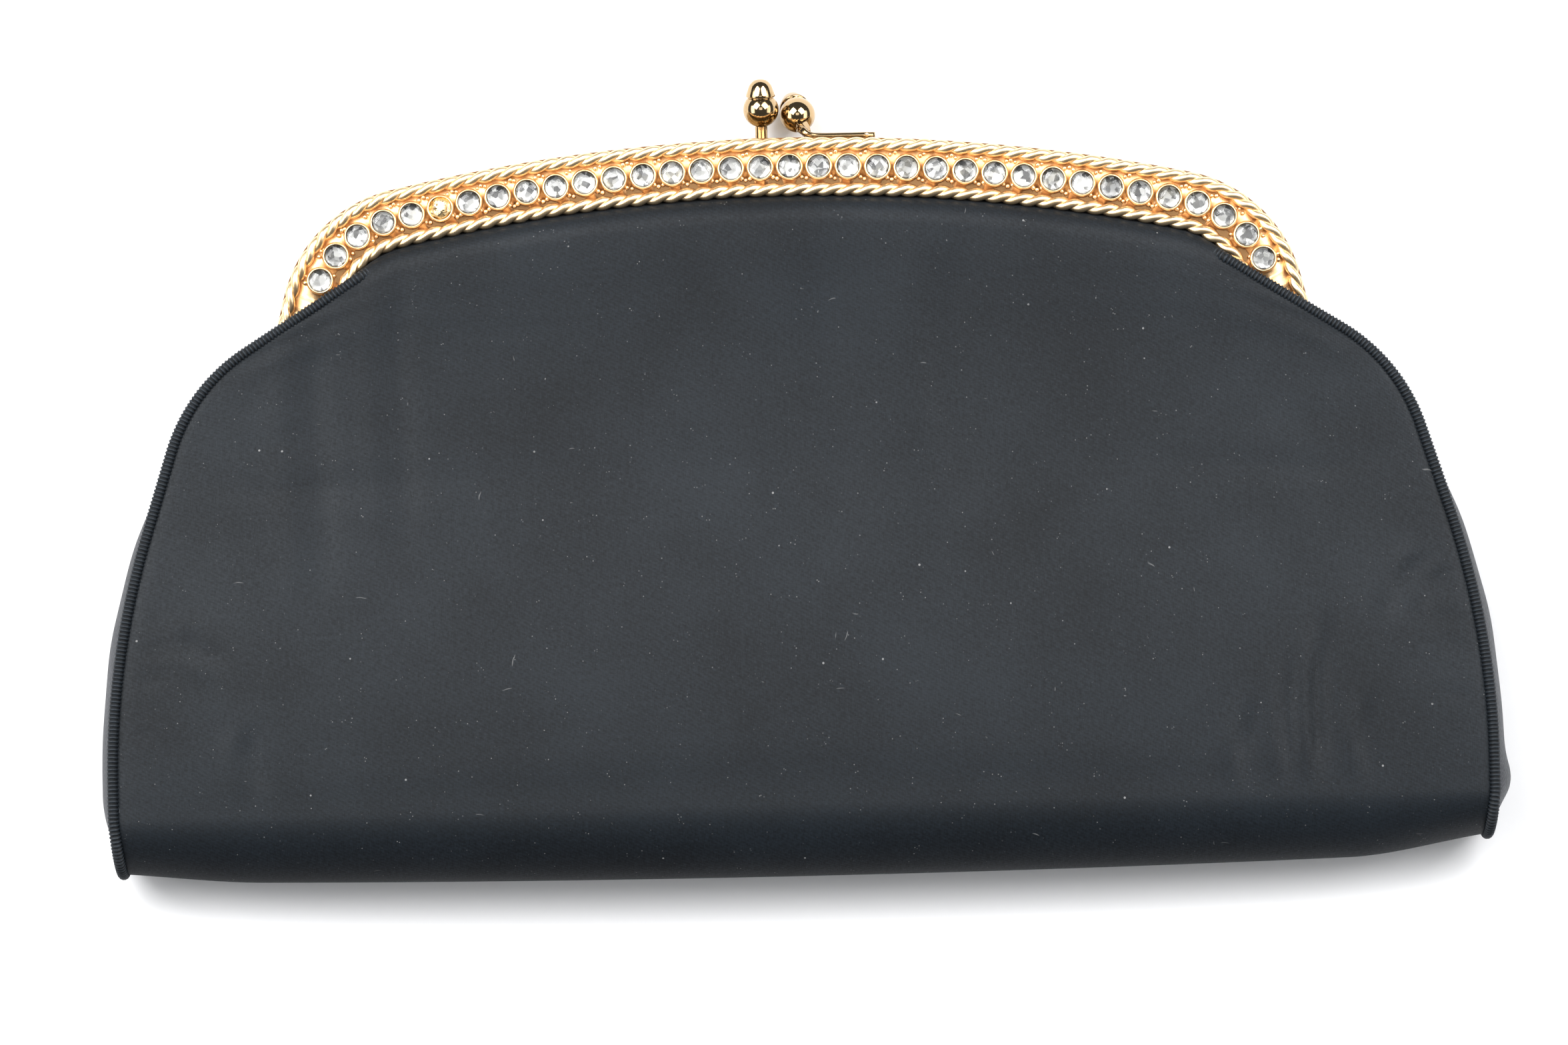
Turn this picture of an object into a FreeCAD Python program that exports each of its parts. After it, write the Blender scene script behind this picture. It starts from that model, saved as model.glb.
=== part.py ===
"""Evening clutch purse: a satin bag hung in a kiss-lock frame with a jewelled front trim.

The purse lies on its back. +X runs across it, +Y from the bottom fold to the clasp and +Z up from the
table through its thickness. While it is modelled, y is 0 at the bottom fold; write_node() then moves
every piece so that the origin is under the middle of the whole purse. Lengths are in millimetres.
"""

import math
import os

import FreeCAD
import Part

V = FreeCAD.Vector

# ---------------------------------------------------------------- driving sizes
# Bag, seen from the front
bag_half_width = 117.0
side_straight_top = 18.0
side_arc_radius = 140.0
side_lean = 17.5
side_line_length = 14.4
shoulder_radius = 32.0
shoulder_lean = 58.0

# Bag, seen from the side
bottom_thickness = 24.0
knee_height = 84.0

# Cloth
satin_thickness = 0.8
interlining_thickness = 0.8
lining_thickness = 0.4
pocket_thickness = 0.4
layer_gap = 0.1
piping_width = 2.0
piping_thickness = 2.0
piping_top_thickness = 1.1
seam_inset = 0.6
gusset_thickness = 1.0
gusset_inset = 0.2
gusset_hem_height = 74.2
gusset_hem_inner_x = 79.0
satin_trim_gap = 0.2
lining_satin_gap = 0.4
lining_tuck_lift = 0.6
lining_tab_gap = 0.3
rim_tuck_inset = 3.0
piping_end_past_arch = 5.3
tuck_end_gap = 2.0
lining_side_inset = 4.0
pocket_half_width = 50.0
pocket_bottom = 28.0
pocket_top = 72.0

# Frame arch, measured at its outer edge
arch_height = 124.0
arch_radius = 313.0
arch_side_margin = 49.8
corner_radius = 24.0
arm_angle = 76.0
arm_end_height = 88.2
arm_drawn_length = 30.0

# Frame channels
table_clearance = 2.2
channel_depth = 4.5
parting_gap = 0.2
channel_wall = 0.8
inner_wall = 0.6
outer_flange_width = 9.0
cord_web_gap = 0.4
cord_width = 1.4
cord_thickness = 1.6
inner_flange_width = 6.0

# Hinge
hinge_height = 84.0
lug_radius = 3.6
lug_thickness = 0.8
lug_gap = 0.2
lug_standoff = 0.3
lug_neck_overlap = 1.6
rivet_radius = 0.8
rivet_clearance = 0.05
rivet_head_radius = 1.6
rivet_head_thickness = 0.7
open_angle = 60.0

# Trim on the front channel
rope_radius = 1.15
trim_overhang = 0.9
trim_base_thickness = 0.6
trim_end_height = 92.0
stone_pitch = 4.92
stone_radius = 1.85
stone_height = 1.7
stone_table_radius = 1.05
stone_culet_radius = 0.05
bezel_clearance = 0.04
bezel_wall = 0.5
bezel_height = 1.4
bead_radius = 0.42
bead_offset = 2.0
stud_index = -12
stud_radius = 2.15

# Kiss lock
ball_radius = 3.0
ball_spacing = 6.15
clasp_offset = -1.5
tip_length = 5.2
cap_radius = 2.25
post_radius = 1.05
rear_post_z = 5.6
rear_ball_height = 129.0
rear_ball_z = 6.6
front_ball_height = 128.1
front_ball_z = 4.8
stem_radius = 0.85
stem_length = 5.35
front_lean = (-0.2, 0.6, -0.775)
foot_length = 12.0
foot_thickness = 1.2
foot_width = 3.4

# Where the front cloth folds as the purse opens
fold_bottom = 77.5
fold_top = 84.5
fold_gap = 0.1

# ---------------------------------------------------------------- sizes worked out from those
mid_z = table_clearance + channel_depth + parting_gap / 2
rear_channel = (table_clearance, table_clearance + channel_depth)
front_channel = (rear_channel[1] + parting_gap, rear_channel[1] + parting_gap + channel_depth)
rope_inset = rope_radius
lower_rope_inset = outer_flange_width - rope_radius + trim_overhang
trim_width = lower_rope_inset + rope_radius
stone_inset = trim_width / 2
trim_seat_z = front_channel[1]
stone_seat_z = trim_seat_z + trim_base_thickness
shoulder_thickness = trim_seat_z + 2 * rope_radius + layer_gap + piping_top_thickness
overall_length = rear_ball_height + tip_length
interlining_depth = satin_thickness + layer_gap
lining_depth = interlining_depth + interlining_thickness + layer_gap
lining_inner_depth = lining_depth + lining_thickness
satin_side_inset = seam_inset + piping_width + layer_gap
satin_edge_inset = trim_width + satin_trim_gap
lining_edge_inset = satin_edge_inset + satin_thickness + lining_satin_gap
arch_half_span = bag_half_width - arch_side_margin
corner_start = math.degrees(math.asin(arch_half_span / arch_radius))
piping_meets_rope_x = arch_half_span + piping_end_past_arch
tuck_half_width = piping_meets_rope_x - tuck_end_gap
far = 400.0


# ---------------------------------------------------------------- helpers
def polar(centre, radius, degrees_from_y):
    """The point at that angle, turned clockwise from +Y, as (x, y)."""
    a = math.radians(degrees_from_y)
    return (centre[0] + radius * math.sin(a), centre[1] + radius * math.cos(a))


def flat(point, z=0.0):
    return V(point[0], point[1], z)


def line(a, b):
    return Part.LineSegment(flat(a), flat(b)).toShape()


def arc(a, middle, b):
    return Part.Arc(flat(a), flat(middle), flat(b)).toShape()


def mirrored(point):
    return (-point[0], point[1])


def face_of(edges):
    return Part.Face(Part.Wire(edges))


def prism(face, low, high):
    """A flat face in the XY plane, raised from z low to z high."""
    solid = face.extrude(V(0, 0, high - low))
    solid.translate(V(0, 0, low))
    return solid


def block(x0, x1, y0, y1, z0, z1):
    return Part.makeBox(x1 - x0, y1 - y0, z1 - z0, V(x0, y0, z0))


def both_sides(shape):
    return [shape, shape.mirror(V(0, 0, 0), V(1, 0, 0))]


def fused(shapes):
    whole = shapes[0]
    if len(shapes) > 1:
        whole = whole.fuse(shapes[1:])
    return whole.removeSplitter()


def write_node(name, shapes):
    """Writes one node from its solids, moved to the purse's own origin."""
    solids = [solid for shape in shapes for solid in shape.Solids]
    moved = Part.makeCompound(solids)
    moved.translate(V(0, -overall_length / 2, 0))
    moved.exportStep(os.path.join("parts", name + ".step"))


# ---------------------------------------------------------------- outlines
def outline_points(inset):
    """The right-hand side of the bag's outline, from the bottom to the apex of its shoulder lines."""
    x = bag_half_width - inset
    side_centre = (bag_half_width - side_arc_radius, side_straight_top)
    lean = math.radians(side_lean)
    out = (math.cos(lean), math.sin(lean))
    up = (-math.sin(lean), math.cos(lean))
    arc_end = polar(side_centre, side_arc_radius - inset, 90 - side_lean)
    line_end = (arc_end[0] + side_line_length * up[0], arc_end[1] + side_line_length * up[1])
    shoulder_centre = (
        line_end[0] - (shoulder_radius - inset) * out[0],
        line_end[1] - (shoulder_radius - inset) * out[1],
    )
    shoulder_middle = polar(shoulder_centre, shoulder_radius - inset, 90 - (side_lean + shoulder_lean) / 2)
    shoulder_end = polar(shoulder_centre, shoulder_radius - inset, 90 - shoulder_lean)
    apex = (0.0, shoulder_end[1] + shoulder_end[0] / math.tan(math.radians(shoulder_lean)))
    side_middle = polar(side_centre, side_arc_radius - inset, 90 - side_lean / 2)
    return [
        (x, -far),
        (x, side_straight_top),
        side_middle,
        arc_end,
        line_end,
        shoulder_middle,
        shoulder_end,
        apex,
    ]


def outline(inset):
    """The bag's outline as a face. It runs on below the bottom fold, which the side profile shapes."""
    foot, straight, side, side_end, line_end, shoulder, shoulder_end, apex = outline_points(inset)
    right = [
        line(foot, straight),
        arc(straight, side, side_end),
        line(side_end, line_end),
        arc(line_end, shoulder, shoulder_end),
        line(shoulder_end, apex),
    ]
    left = [
        line(apex, mirrored(shoulder_end)),
        arc(mirrored(shoulder_end), mirrored(shoulder), mirrored(line_end)),
        line(mirrored(line_end), mirrored(side_end)),
        arc(mirrored(side_end), mirrored(side), mirrored(straight)),
        line(mirrored(straight), mirrored(foot)),
    ]
    return face_of(right + left + [line(mirrored(foot), foot)])


def corner_centre():
    top = (0.0, arch_height - arch_radius)
    tangent = polar(top, arch_radius, corner_start)
    return polar(tangent, -corner_radius, corner_start)


def arch_points(inset):
    """The arch's right half at that inset: its top, its tangent points and the end of its arm."""
    top_centre = (0.0, arch_height - arch_radius)
    crown = (0.0, arch_height - inset)
    start = polar(top_centre, arch_radius - inset, corner_start)
    middle = polar(corner_centre(), corner_radius - inset, (corner_start + arm_angle) / 2)
    end = polar(corner_centre(), corner_radius - inset, arm_angle)
    a = math.radians(arm_angle)
    arm = (end[0] + arm_drawn_length * math.cos(a), end[1] - arm_drawn_length * math.sin(a))
    return crown, start, middle, end, arm


def arch_edges(inset):
    """The arch at that inset as joined edges, from its left arm to its right arm."""
    crown, start, middle, end, arm = arch_points(inset)
    return [
        line(mirrored(arm), mirrored(end)),
        arc(mirrored(end), mirrored(middle), mirrored(start)),
        arc(mirrored(start), crown, start),
        arc(start, middle, end),
        line(end, arm),
    ]


def arch_band(outer_inset, inner_inset):
    """The flat strip between two insets of the arch."""
    outer_arm = arch_points(outer_inset)[4]
    inner_arm = arch_points(inner_inset)[4]
    ends = [line(outer_arm, inner_arm), line(mirrored(outer_arm), mirrored(inner_arm))]
    edges = Part.sortEdges(arch_edges(outer_inset) + arch_edges(inner_inset) + ends)[0]
    return face_of(edges)


def inside_arch(inset):
    """Everything under the arch at that inset, down to the ends of its arms."""
    arm = arch_points(inset)[4]
    return face_of(arch_edges(inset) + [line(arm, mirrored(arm))])


def arch_strip(outer_inset, inner_inset, low, high, end_height):
    """A strip along the arch from z low to z high, its arms cut off at end_height."""
    return prism(arch_band(outer_inset, inner_inset), low, high).common(
        block(-far, far, end_height, far, -far, far)
    )


def side_profile(inset):
    """The bag's side view at that depth under its skin, as a solid across the whole width."""
    radius = bottom_thickness / 2
    centre = (radius, radius)
    rise = shoulder_thickness - radius
    run = knee_height - radius
    tangent = math.atan2(rise, run) + math.acos(radius / math.hypot(rise, run))
    reach = radius - inset

    def on_fold(angle):
        return (centre[0] + reach * math.cos(angle), centre[1] + reach * math.sin(angle))

    back = on_fold(-math.pi / 2)
    bottom = on_fold((tangent - math.pi / 2) / 2 + math.pi)
    front = on_fold(tangent)
    shoulder = shoulder_thickness - inset
    knee = (front[0] + (front[1] - shoulder) * math.tan(tangent), shoulder)
    corners = [back, front, knee, (far, shoulder), (far, inset)]

    def place(point):
        return V(-far, point[0], point[1])

    edges = [
        Part.Arc(place(corners[0]), place(bottom), place(corners[1])).toShape(),
        Part.LineSegment(place(corners[1]), place(corners[2])).toShape(),
        Part.LineSegment(place(corners[2]), place(corners[3])).toShape(),
        Part.LineSegment(place(corners[3]), place(corners[4])).toShape(),
        Part.LineSegment(place(corners[4]), place(corners[0])).toShape(),
    ]
    return face_of(edges).extrude(V(2 * far, 0, 0))


def skin(outer_depth, thickness):
    """A sheet that wraps the bag: up the back, round the bottom fold and up the front."""
    return side_profile(outer_depth).cut(side_profile(outer_depth + thickness))


# ---------------------------------------------------------------- zones of the cloth
def whole_height(face):
    return prism(face, -far, far)


def front_half(low, high):
    """The space of the bag's front, between two heights."""
    return block(-far, far, low, high, mid_z, far)


def under_trim():
    """Where the satin shows: under the arch, and over the arch's ends beyond the last of the seam."""
    shoulders = both_sides(block(piping_meets_rope_x, far, -far, far, -far, far))
    below = block(-far, far, -far, hinge_height, -far, far)
    return whole_height(inside_arch(satin_edge_inset)).fuse(shoulders + [below])


def inner_zone():
    """Where the inner layers lie: all of the bag below the fold, and under the arch above it."""
    below = block(-far, far, -far, fold_bottom - layer_gap, -far, far)
    arch = whole_height(inside_arch(lining_edge_inset))
    return arch.fuse(below).common(whole_height(outline(lining_side_inset)))


def channel_tuck(edge_inset, thickness, skin_z, tab_z, half_width):
    """The rim of a sheet that turns from the bag's skin into a frame channel."""
    wall_low, wall_high = min(skin_z, tab_z), max(skin_z, tab_z)
    tab_low = tab_z if tab_z < skin_z else tab_z - thickness
    wall = arch_strip(edge_inset, edge_inset + thickness, wall_low, wall_high, hinge_height)
    tab = arch_strip(rim_tuck_inset, edge_inset + thickness, tab_low, tab_low + thickness, hinge_height)
    return wall.fuse(tab).common(block(-half_width, half_width, -far, far, -far, far))



# ---------------------------------------------------------------- cloth pieces
def satin():
    """The satin is one cut that wraps the bottom, so it is split only where the purse folds."""
    sheet = skin(0, satin_thickness).common(whole_height(outline(satin_side_inset))).common(under_trim())
    rear_tab = table_clearance + channel_wall + layer_gap
    rear_tuck = channel_tuck(
        satin_edge_inset, satin_thickness, 0.0, rear_tab + satin_thickness, tuck_half_width
    )
    front_tab = front_channel[1] - channel_wall - layer_gap - satin_thickness
    front_tuck = channel_tuck(
        satin_edge_inset, satin_thickness, shoulder_thickness, front_tab, tuck_half_width
    )
    shell = sheet.cut(front_half(fold_bottom, far)).fuse(rear_tuck)
    top = sheet.common(front_half(fold_top, far)).fuse(front_tuck)
    fold = sheet.common(front_half(fold_bottom + fold_gap, fold_top - fold_gap))
    write_node("satin_shell", [shell.removeSplitter()])
    write_node("satin_front_top", [top.removeSplitter()])
    write_node("satin_hinge_fold", [fold])


def interlining():
    """Stiff felt between the satin and the lining."""
    sheet = skin(interlining_depth, interlining_thickness).common(inner_zone())
    write_node("interlining_shell", [sheet.cut(front_half(fold_bottom, far))])
    write_node("interlining_front_top", [sheet.common(front_half(fold_top, far))])


def lining():
    """The inner bag, whose rim turns into the channels behind the satin's."""
    sheet = skin(lining_depth, lining_thickness).common(inner_zone())
    rear_tab = rear_channel[1] - inner_wall - lining_tab_gap - lining_thickness
    front_tab = front_channel[0] + inner_wall + lining_tab_gap
    edge = lining_edge_inset
    rear_tuck = channel_tuck(
        edge, lining_thickness, lining_depth, rear_tab + lining_thickness - lining_tuck_lift, tuck_half_width
    )
    front_tuck = channel_tuck(
        edge, lining_thickness, shoulder_thickness - lining_depth, front_tab + lining_tuck_lift, tuck_half_width
    )
    shell = sheet.cut(front_half(fold_bottom, far)).fuse(rear_tuck)
    top = sheet.common(front_half(fold_top, far)).fuse(front_tuck)
    fold = sheet.common(front_half(fold_bottom + fold_gap, fold_top - fold_gap))
    write_node("lining_bag", [shell.removeSplitter()])
    write_node("lining_front_top", [top.removeSplitter()])
    write_node("lining_hinge_fold", [fold])


def pocket():
    """A flat slip pocket stitched to the back of the lining."""
    low = lining_inner_depth + layer_gap
    write_node(
        "inner_pocket",
        [block(-pocket_half_width, pocket_half_width, pocket_bottom, pocket_top, low, low + pocket_thickness)],
    )


def piping_band(thickness):
    ring = whole_height(outline(seam_inset)).cut(whole_height(outline(seam_inset + piping_width)))
    return skin(0, thickness).common(ring)


def piping():
    """Ribbed piping on both side seams, from the back channel round the bottom to the front channel."""
    outside = block(piping_meets_rope_x, far, -far, far, -far, far)
    whole = piping_band(piping_thickness)
    thin = piping_band(piping_top_thickness)
    for side, zone in zip(("right", "left"), both_sides(outside)):
        band = whole.common(zone)
        write_node("piping_" + side, [band.cut(front_half(fold_bottom, far))])
        write_node("piping_" + side + "_top", [thin.common(zone).common(front_half(fold_top, far))])
    fold_zone = front_half(fold_bottom + fold_gap, fold_top - fold_gap)
    write_node("piping_hinge_fold", [thin.common(fold_zone)])


def gussets():
    """Side walls between the two lines of piping, each with a hem that turns in under the hinge."""
    ring = whole_height(outline(gusset_inset)).cut(whole_height(outline(gusset_inset + gusset_thickness)))
    hem_top = gusset_hem_height + gusset_thickness
    below_hem = block(0, far, -far, hem_top, -far, far)
    wall = side_profile(piping_thickness + layer_gap).common(ring).common(below_hem)
    hem = block(gusset_hem_inner_x, far, gusset_hem_height, hem_top, -far, far)
    hem = hem.common(whole_height(outline(gusset_inset)))
    hem = hem.common(side_profile(lining_inner_depth + layer_gap))
    gusset = wall.fuse(hem).removeSplitter()
    for side, shape in zip(("right", "left"), both_sides(gusset)):
        write_node("gusset_" + side, [shape])


def channel_cords():
    """Paper cord that wedges the cloth into each channel."""
    outer = channel_wall + cord_web_gap
    for name, z in (("rear_channel_cord", rear_channel), ("front_channel_cord", front_channel)):
        middle = (z[0] + z[1]) / 2
        low, high = middle - cord_thickness / 2, middle + cord_thickness / 2
        write_node(name, [arch_strip(outer, outer + cord_width, low, high, trim_end_height)])


# ---------------------------------------------------------------- frame
def channel(low, high, outer_low, outer_high, inner_low, inner_high):
    """A U-shaped channel round the arch: its web, its outer flange and its inner flange."""
    web = arch_strip(0, channel_wall, low, high, arm_end_height)
    outer = arch_strip(0, outer_flange_width, outer_low, outer_high, arm_end_height)
    inner = arch_strip(0, inner_flange_width, inner_low, inner_high, arm_end_height)
    return [web, outer, inner]


def arm_outer_x(height):
    """Half the frame's width, across its straight arms, at that height."""
    *_, end, arm = arch_points(0)
    return end[0] + (arm[0] - end[0]) * (end[1] - height) / (end[1] - arm[1])


lug_outer_x = arm_outer_x(arm_end_height) + lug_standoff


def lug(outer_x, z_low, z_high):
    """The eye at the end of a right-hand arm, with the neck that joins it to the channel's web."""
    x = outer_x - lug_thickness
    axis = V(1, 0, 0)
    eye = Part.makeCylinder(lug_radius, lug_thickness, V(x, hinge_height, mid_z), axis)
    neck = block(x, outer_x, hinge_height, arm_end_height + lug_neck_overlap, z_low, z_high)
    hole = Part.makeCylinder(
        rivet_radius + rivet_clearance, 3 * lug_thickness, V(x - lug_thickness, hinge_height, mid_z), axis
    )
    return eye.fuse(neck).cut(hole)


def frame_halves():
    low, high = rear_channel
    rear = channel(low, high, low, low + channel_wall, high - inner_wall, high)
    rear += both_sides(lug(lug_outer_x, low + channel_wall, high))
    write_node("rear_frame", [fused(rear)])
    low, high = front_channel
    front = channel(low, high, high - channel_wall, high, low, low + inner_wall)
    front += both_sides(lug(lug_outer_x - lug_thickness - lug_gap, low, high - channel_wall))
    write_node("front_frame", [fused(front)])


def hinge_rivets():
    """A rivet through each pair of lugs, headed at both ends."""
    inner_face = lug_outer_x - 2 * lug_thickness - lug_gap
    shank_start = inner_face - layer_gap - rivet_head_thickness
    shank_length = lug_outer_x + layer_gap - shank_start + rivet_head_thickness
    axis = V(1, 0, 0)
    shank = Part.makeCylinder(rivet_radius, shank_length, V(shank_start, hinge_height, mid_z), axis)
    heads = [
        Part.makeCylinder(rivet_head_radius, rivet_head_thickness, V(x, hinge_height, mid_z), axis)
        for x in (shank_start, lug_outer_x + layer_gap)
    ]
    rivet = fused([shank] + heads)
    for side, shape in zip(("right", "left"), both_sides(rivet)):
        write_node("hinge_rivet_" + side, [shape])


# ---------------------------------------------------------------- trim
def stone_place(steps):
    """The centre of a stone, counted in whole or half pitches from the middle one, and its heading."""
    along = abs(steps) * stone_pitch
    radius = arch_radius - stone_inset
    crown_length = radius * math.radians(corner_start)
    if along <= crown_length:
        heading = math.degrees(along / radius)
        point = polar((0.0, arch_height - arch_radius), radius, heading)
    else:
        corner = corner_radius - stone_inset
        heading = corner_start + math.degrees((along - crown_length) / corner)
        point = polar(corner_centre(), corner, heading)
    if steps < 0:
        return mirrored(point), -heading
    return point, heading


def stone_steps():
    """Steps of one pitch either side of the middle stone, as many as the crown and the corners hold."""
    crown = (arch_radius - stone_inset) * math.radians(corner_start)
    corner = (corner_radius - stone_inset) * math.radians(arm_angle - corner_start)
    half = int((crown + corner) / stone_pitch)
    return range(-half, half + 1)


def rope(inset):
    """One rope border, as a plain round bar along the arch."""
    crown, start, middle, end, arm = arch_points(inset)
    z = trim_seat_z + rope_radius
    path = Part.Wire(Part.sortEdges(arch_edges(inset))[0])
    path.translate(V(0, 0, z))
    a = math.radians(arm_angle)
    circle = Part.makeCircle(rope_radius, flat(mirrored(arm), z), V(math.cos(a), math.sin(a), 0))
    bar = path.makePipeShell([Part.Wire(circle)], True, False)
    return bar.common(block(-far, far, trim_end_height, far, -far, far))


def trim():
    edge = 2 * rope_radius
    base = arch_strip(edge, trim_width - edge, trim_seat_z, stone_seat_z, trim_end_height)
    write_node("trim_base", [base])
    write_node("rope_upper", [rope(rope_inset)])
    write_node("rope_lower", [rope(lower_rope_inset)])


def bezel(point):
    inner = stone_radius + bezel_clearance
    seat = flat(point, stone_seat_z)
    cup = Part.makeCylinder(inner + bezel_wall, bezel_height, seat)
    return cup.cut(Part.makeCylinder(inner, bezel_height, seat))


def stone(point):
    """A round-cut stone: a cone below its girdle and a bevelled crown above."""
    low = stone_seat_z + layer_gap
    girdle = low + 0.5 * stone_height
    pavilion = Part.makeCone(stone_culet_radius, stone_radius, girdle - low, flat(point, low))
    crown = Part.makeCone(
        stone_radius, stone_table_radius, low + stone_height - girdle, flat(point, girdle)
    )
    return pavilion.fuse(crown)


def jewels():
    """Every bezel holds a stone but one, where a rough gold stud stands instead."""
    places = {step: stone_place(step)[0] for step in stone_steps()}
    set_places = [point for step, point in places.items() if step != stud_index]
    write_node("bezels", [bezel(point) for point in set_places])
    write_node("rhinestones", [stone(point) for point in set_places])
    ball = Part.makeSphere(stud_radius, flat(places[stud_index], stone_seat_z))
    write_node("gold_stud", [ball.common(block(-far, far, -far, far, stone_seat_z, far))])
    beads = []
    for step in stone_steps():
        if step == max(stone_steps()):
            continue
        point, heading = stone_place(step + 0.5)
        for side in (-1, 1):
            place = polar(point, side * bead_offset, heading)
            beads.append(Part.makeSphere(bead_radius, flat(place, stone_seat_z + bead_radius)))
    write_node("seed_beads", beads)


# ---------------------------------------------------------------- kiss lock
def finial(centre, direction, stem):
    """A ball with a domed cap, standing along direction on its stem."""
    way = V(direction)
    way.normalize()
    ball = Part.makeSphere(ball_radius, centre)
    cap = Part.makeSphere(cap_radius, centre + way * (tip_length - cap_radius))
    return ball.fuse(cap).cut(stem)


def rear_clasp():
    """The rear half's ball stands on a straight post."""
    x = clasp_offset - ball_spacing / 2
    foot = V(x, arch_height, rear_post_z)
    centre = V(x, rear_ball_height, rear_ball_z)
    direction = centre - foot
    post = Part.makeCylinder(post_radius, direction.Length, foot, direction)
    post = post.common(block(-far, far, arch_height, far, -far, far))
    write_node("rear_clasp_post", [post])
    write_node("rear_clasp_ball", [finial(centre, direction, post)])


def front_clasp():
    """The front half's ball leans back over the rear half, on a stem bent up from a flat foot."""
    centre = V(clasp_offset + ball_spacing / 2, front_ball_height, front_ball_z)
    direction = V(*front_lean)
    direction.normalize()
    heel = centre - direction * stem_length
    stem = Part.makeCylinder(stem_radius, stem_length, heel, direction)
    knuckle = Part.makeSphere(stem_radius, heel)
    foot_z = (front_channel[0] + front_channel[1]) / 2
    foot = block(
        heel.x,
        heel.x + foot_length,
        arch_height,
        arch_height + foot_thickness,
        foot_z - foot_width / 2,
        foot_z + foot_width / 2,
    )
    above = block(-far, far, arch_height, far, -far, far)
    arm = fused([stem, knuckle, foot]).common(above)
    write_node("front_clasp_arm", [arm])
    write_node("front_clasp_ball", [finial(centre, direction, arm)])


# ---------------------------------------------------------------- build
def main():
    os.makedirs("parts", exist_ok=True)
    satin()
    interlining()
    lining()
    pocket()
    piping()
    gussets()
    channel_cords()
    frame_halves()
    hinge_rivets()
    trim()
    jewels()
    rear_clasp()
    front_clasp()


main()
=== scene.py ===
"""A satin evening clutch on a jewelled kiss-lock frame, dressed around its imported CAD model."""

import math
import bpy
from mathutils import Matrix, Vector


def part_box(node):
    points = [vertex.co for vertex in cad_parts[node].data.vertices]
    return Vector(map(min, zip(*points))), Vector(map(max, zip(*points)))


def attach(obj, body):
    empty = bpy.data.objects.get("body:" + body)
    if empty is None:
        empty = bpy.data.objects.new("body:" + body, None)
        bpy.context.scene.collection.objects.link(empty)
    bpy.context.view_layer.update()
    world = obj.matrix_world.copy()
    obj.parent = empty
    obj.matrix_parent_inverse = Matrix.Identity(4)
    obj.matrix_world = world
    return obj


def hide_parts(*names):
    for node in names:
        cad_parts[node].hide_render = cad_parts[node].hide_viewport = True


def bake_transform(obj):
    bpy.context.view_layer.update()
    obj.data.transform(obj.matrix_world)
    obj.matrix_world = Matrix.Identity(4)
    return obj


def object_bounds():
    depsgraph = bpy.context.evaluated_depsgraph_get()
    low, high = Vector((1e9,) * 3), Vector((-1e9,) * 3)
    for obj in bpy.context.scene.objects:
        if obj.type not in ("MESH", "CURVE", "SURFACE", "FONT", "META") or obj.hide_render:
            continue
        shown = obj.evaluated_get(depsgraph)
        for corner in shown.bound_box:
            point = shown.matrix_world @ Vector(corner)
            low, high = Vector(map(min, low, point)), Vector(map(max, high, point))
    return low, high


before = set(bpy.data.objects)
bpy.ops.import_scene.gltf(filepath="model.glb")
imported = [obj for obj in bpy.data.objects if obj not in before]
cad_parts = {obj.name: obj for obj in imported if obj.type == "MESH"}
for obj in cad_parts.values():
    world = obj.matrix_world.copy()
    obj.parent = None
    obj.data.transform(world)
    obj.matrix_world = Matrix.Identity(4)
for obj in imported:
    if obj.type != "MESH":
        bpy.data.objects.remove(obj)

from types import SimpleNamespace

import bmesh
import bpy
import numpy as np
from bpy.props import FloatProperty, FloatVectorProperty, IntProperty, PointerProperty
from mathutils import Matrix, Vector

bl_info = {
    "name": "Evening Clutch",
    "version": (1, 0, 0),
    "blender": (4, 5, 0),
    "location": "3D View > Sidebar > Clutch",
    "description": "Makes the cloth, the trim and the clasp of a satin evening clutch",
    "category": "Add Mesh",
}

MM = 0.001
cad_low, cad_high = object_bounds()
BACK, FRONT = "rear_half", "front_half"
BOTTOM_Y = cad_low.y / MM


# ---------------------------------------------------------------- sizes and colours
def length(name, description, millimetres):
    return FloatProperty(
        name=name, description=description, default=millimetres * MM, unit="LENGTH", precision=5
    )


def angle(name, description, degrees):
    return FloatProperty(
        name=name, description=description, default=math.radians(degrees), subtype="ANGLE"
    )


def colour(name, description, value):
    return FloatVectorProperty(
        name=name, description=description, default=value, subtype="COLOR", size=3, min=0, max=1
    )


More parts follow.
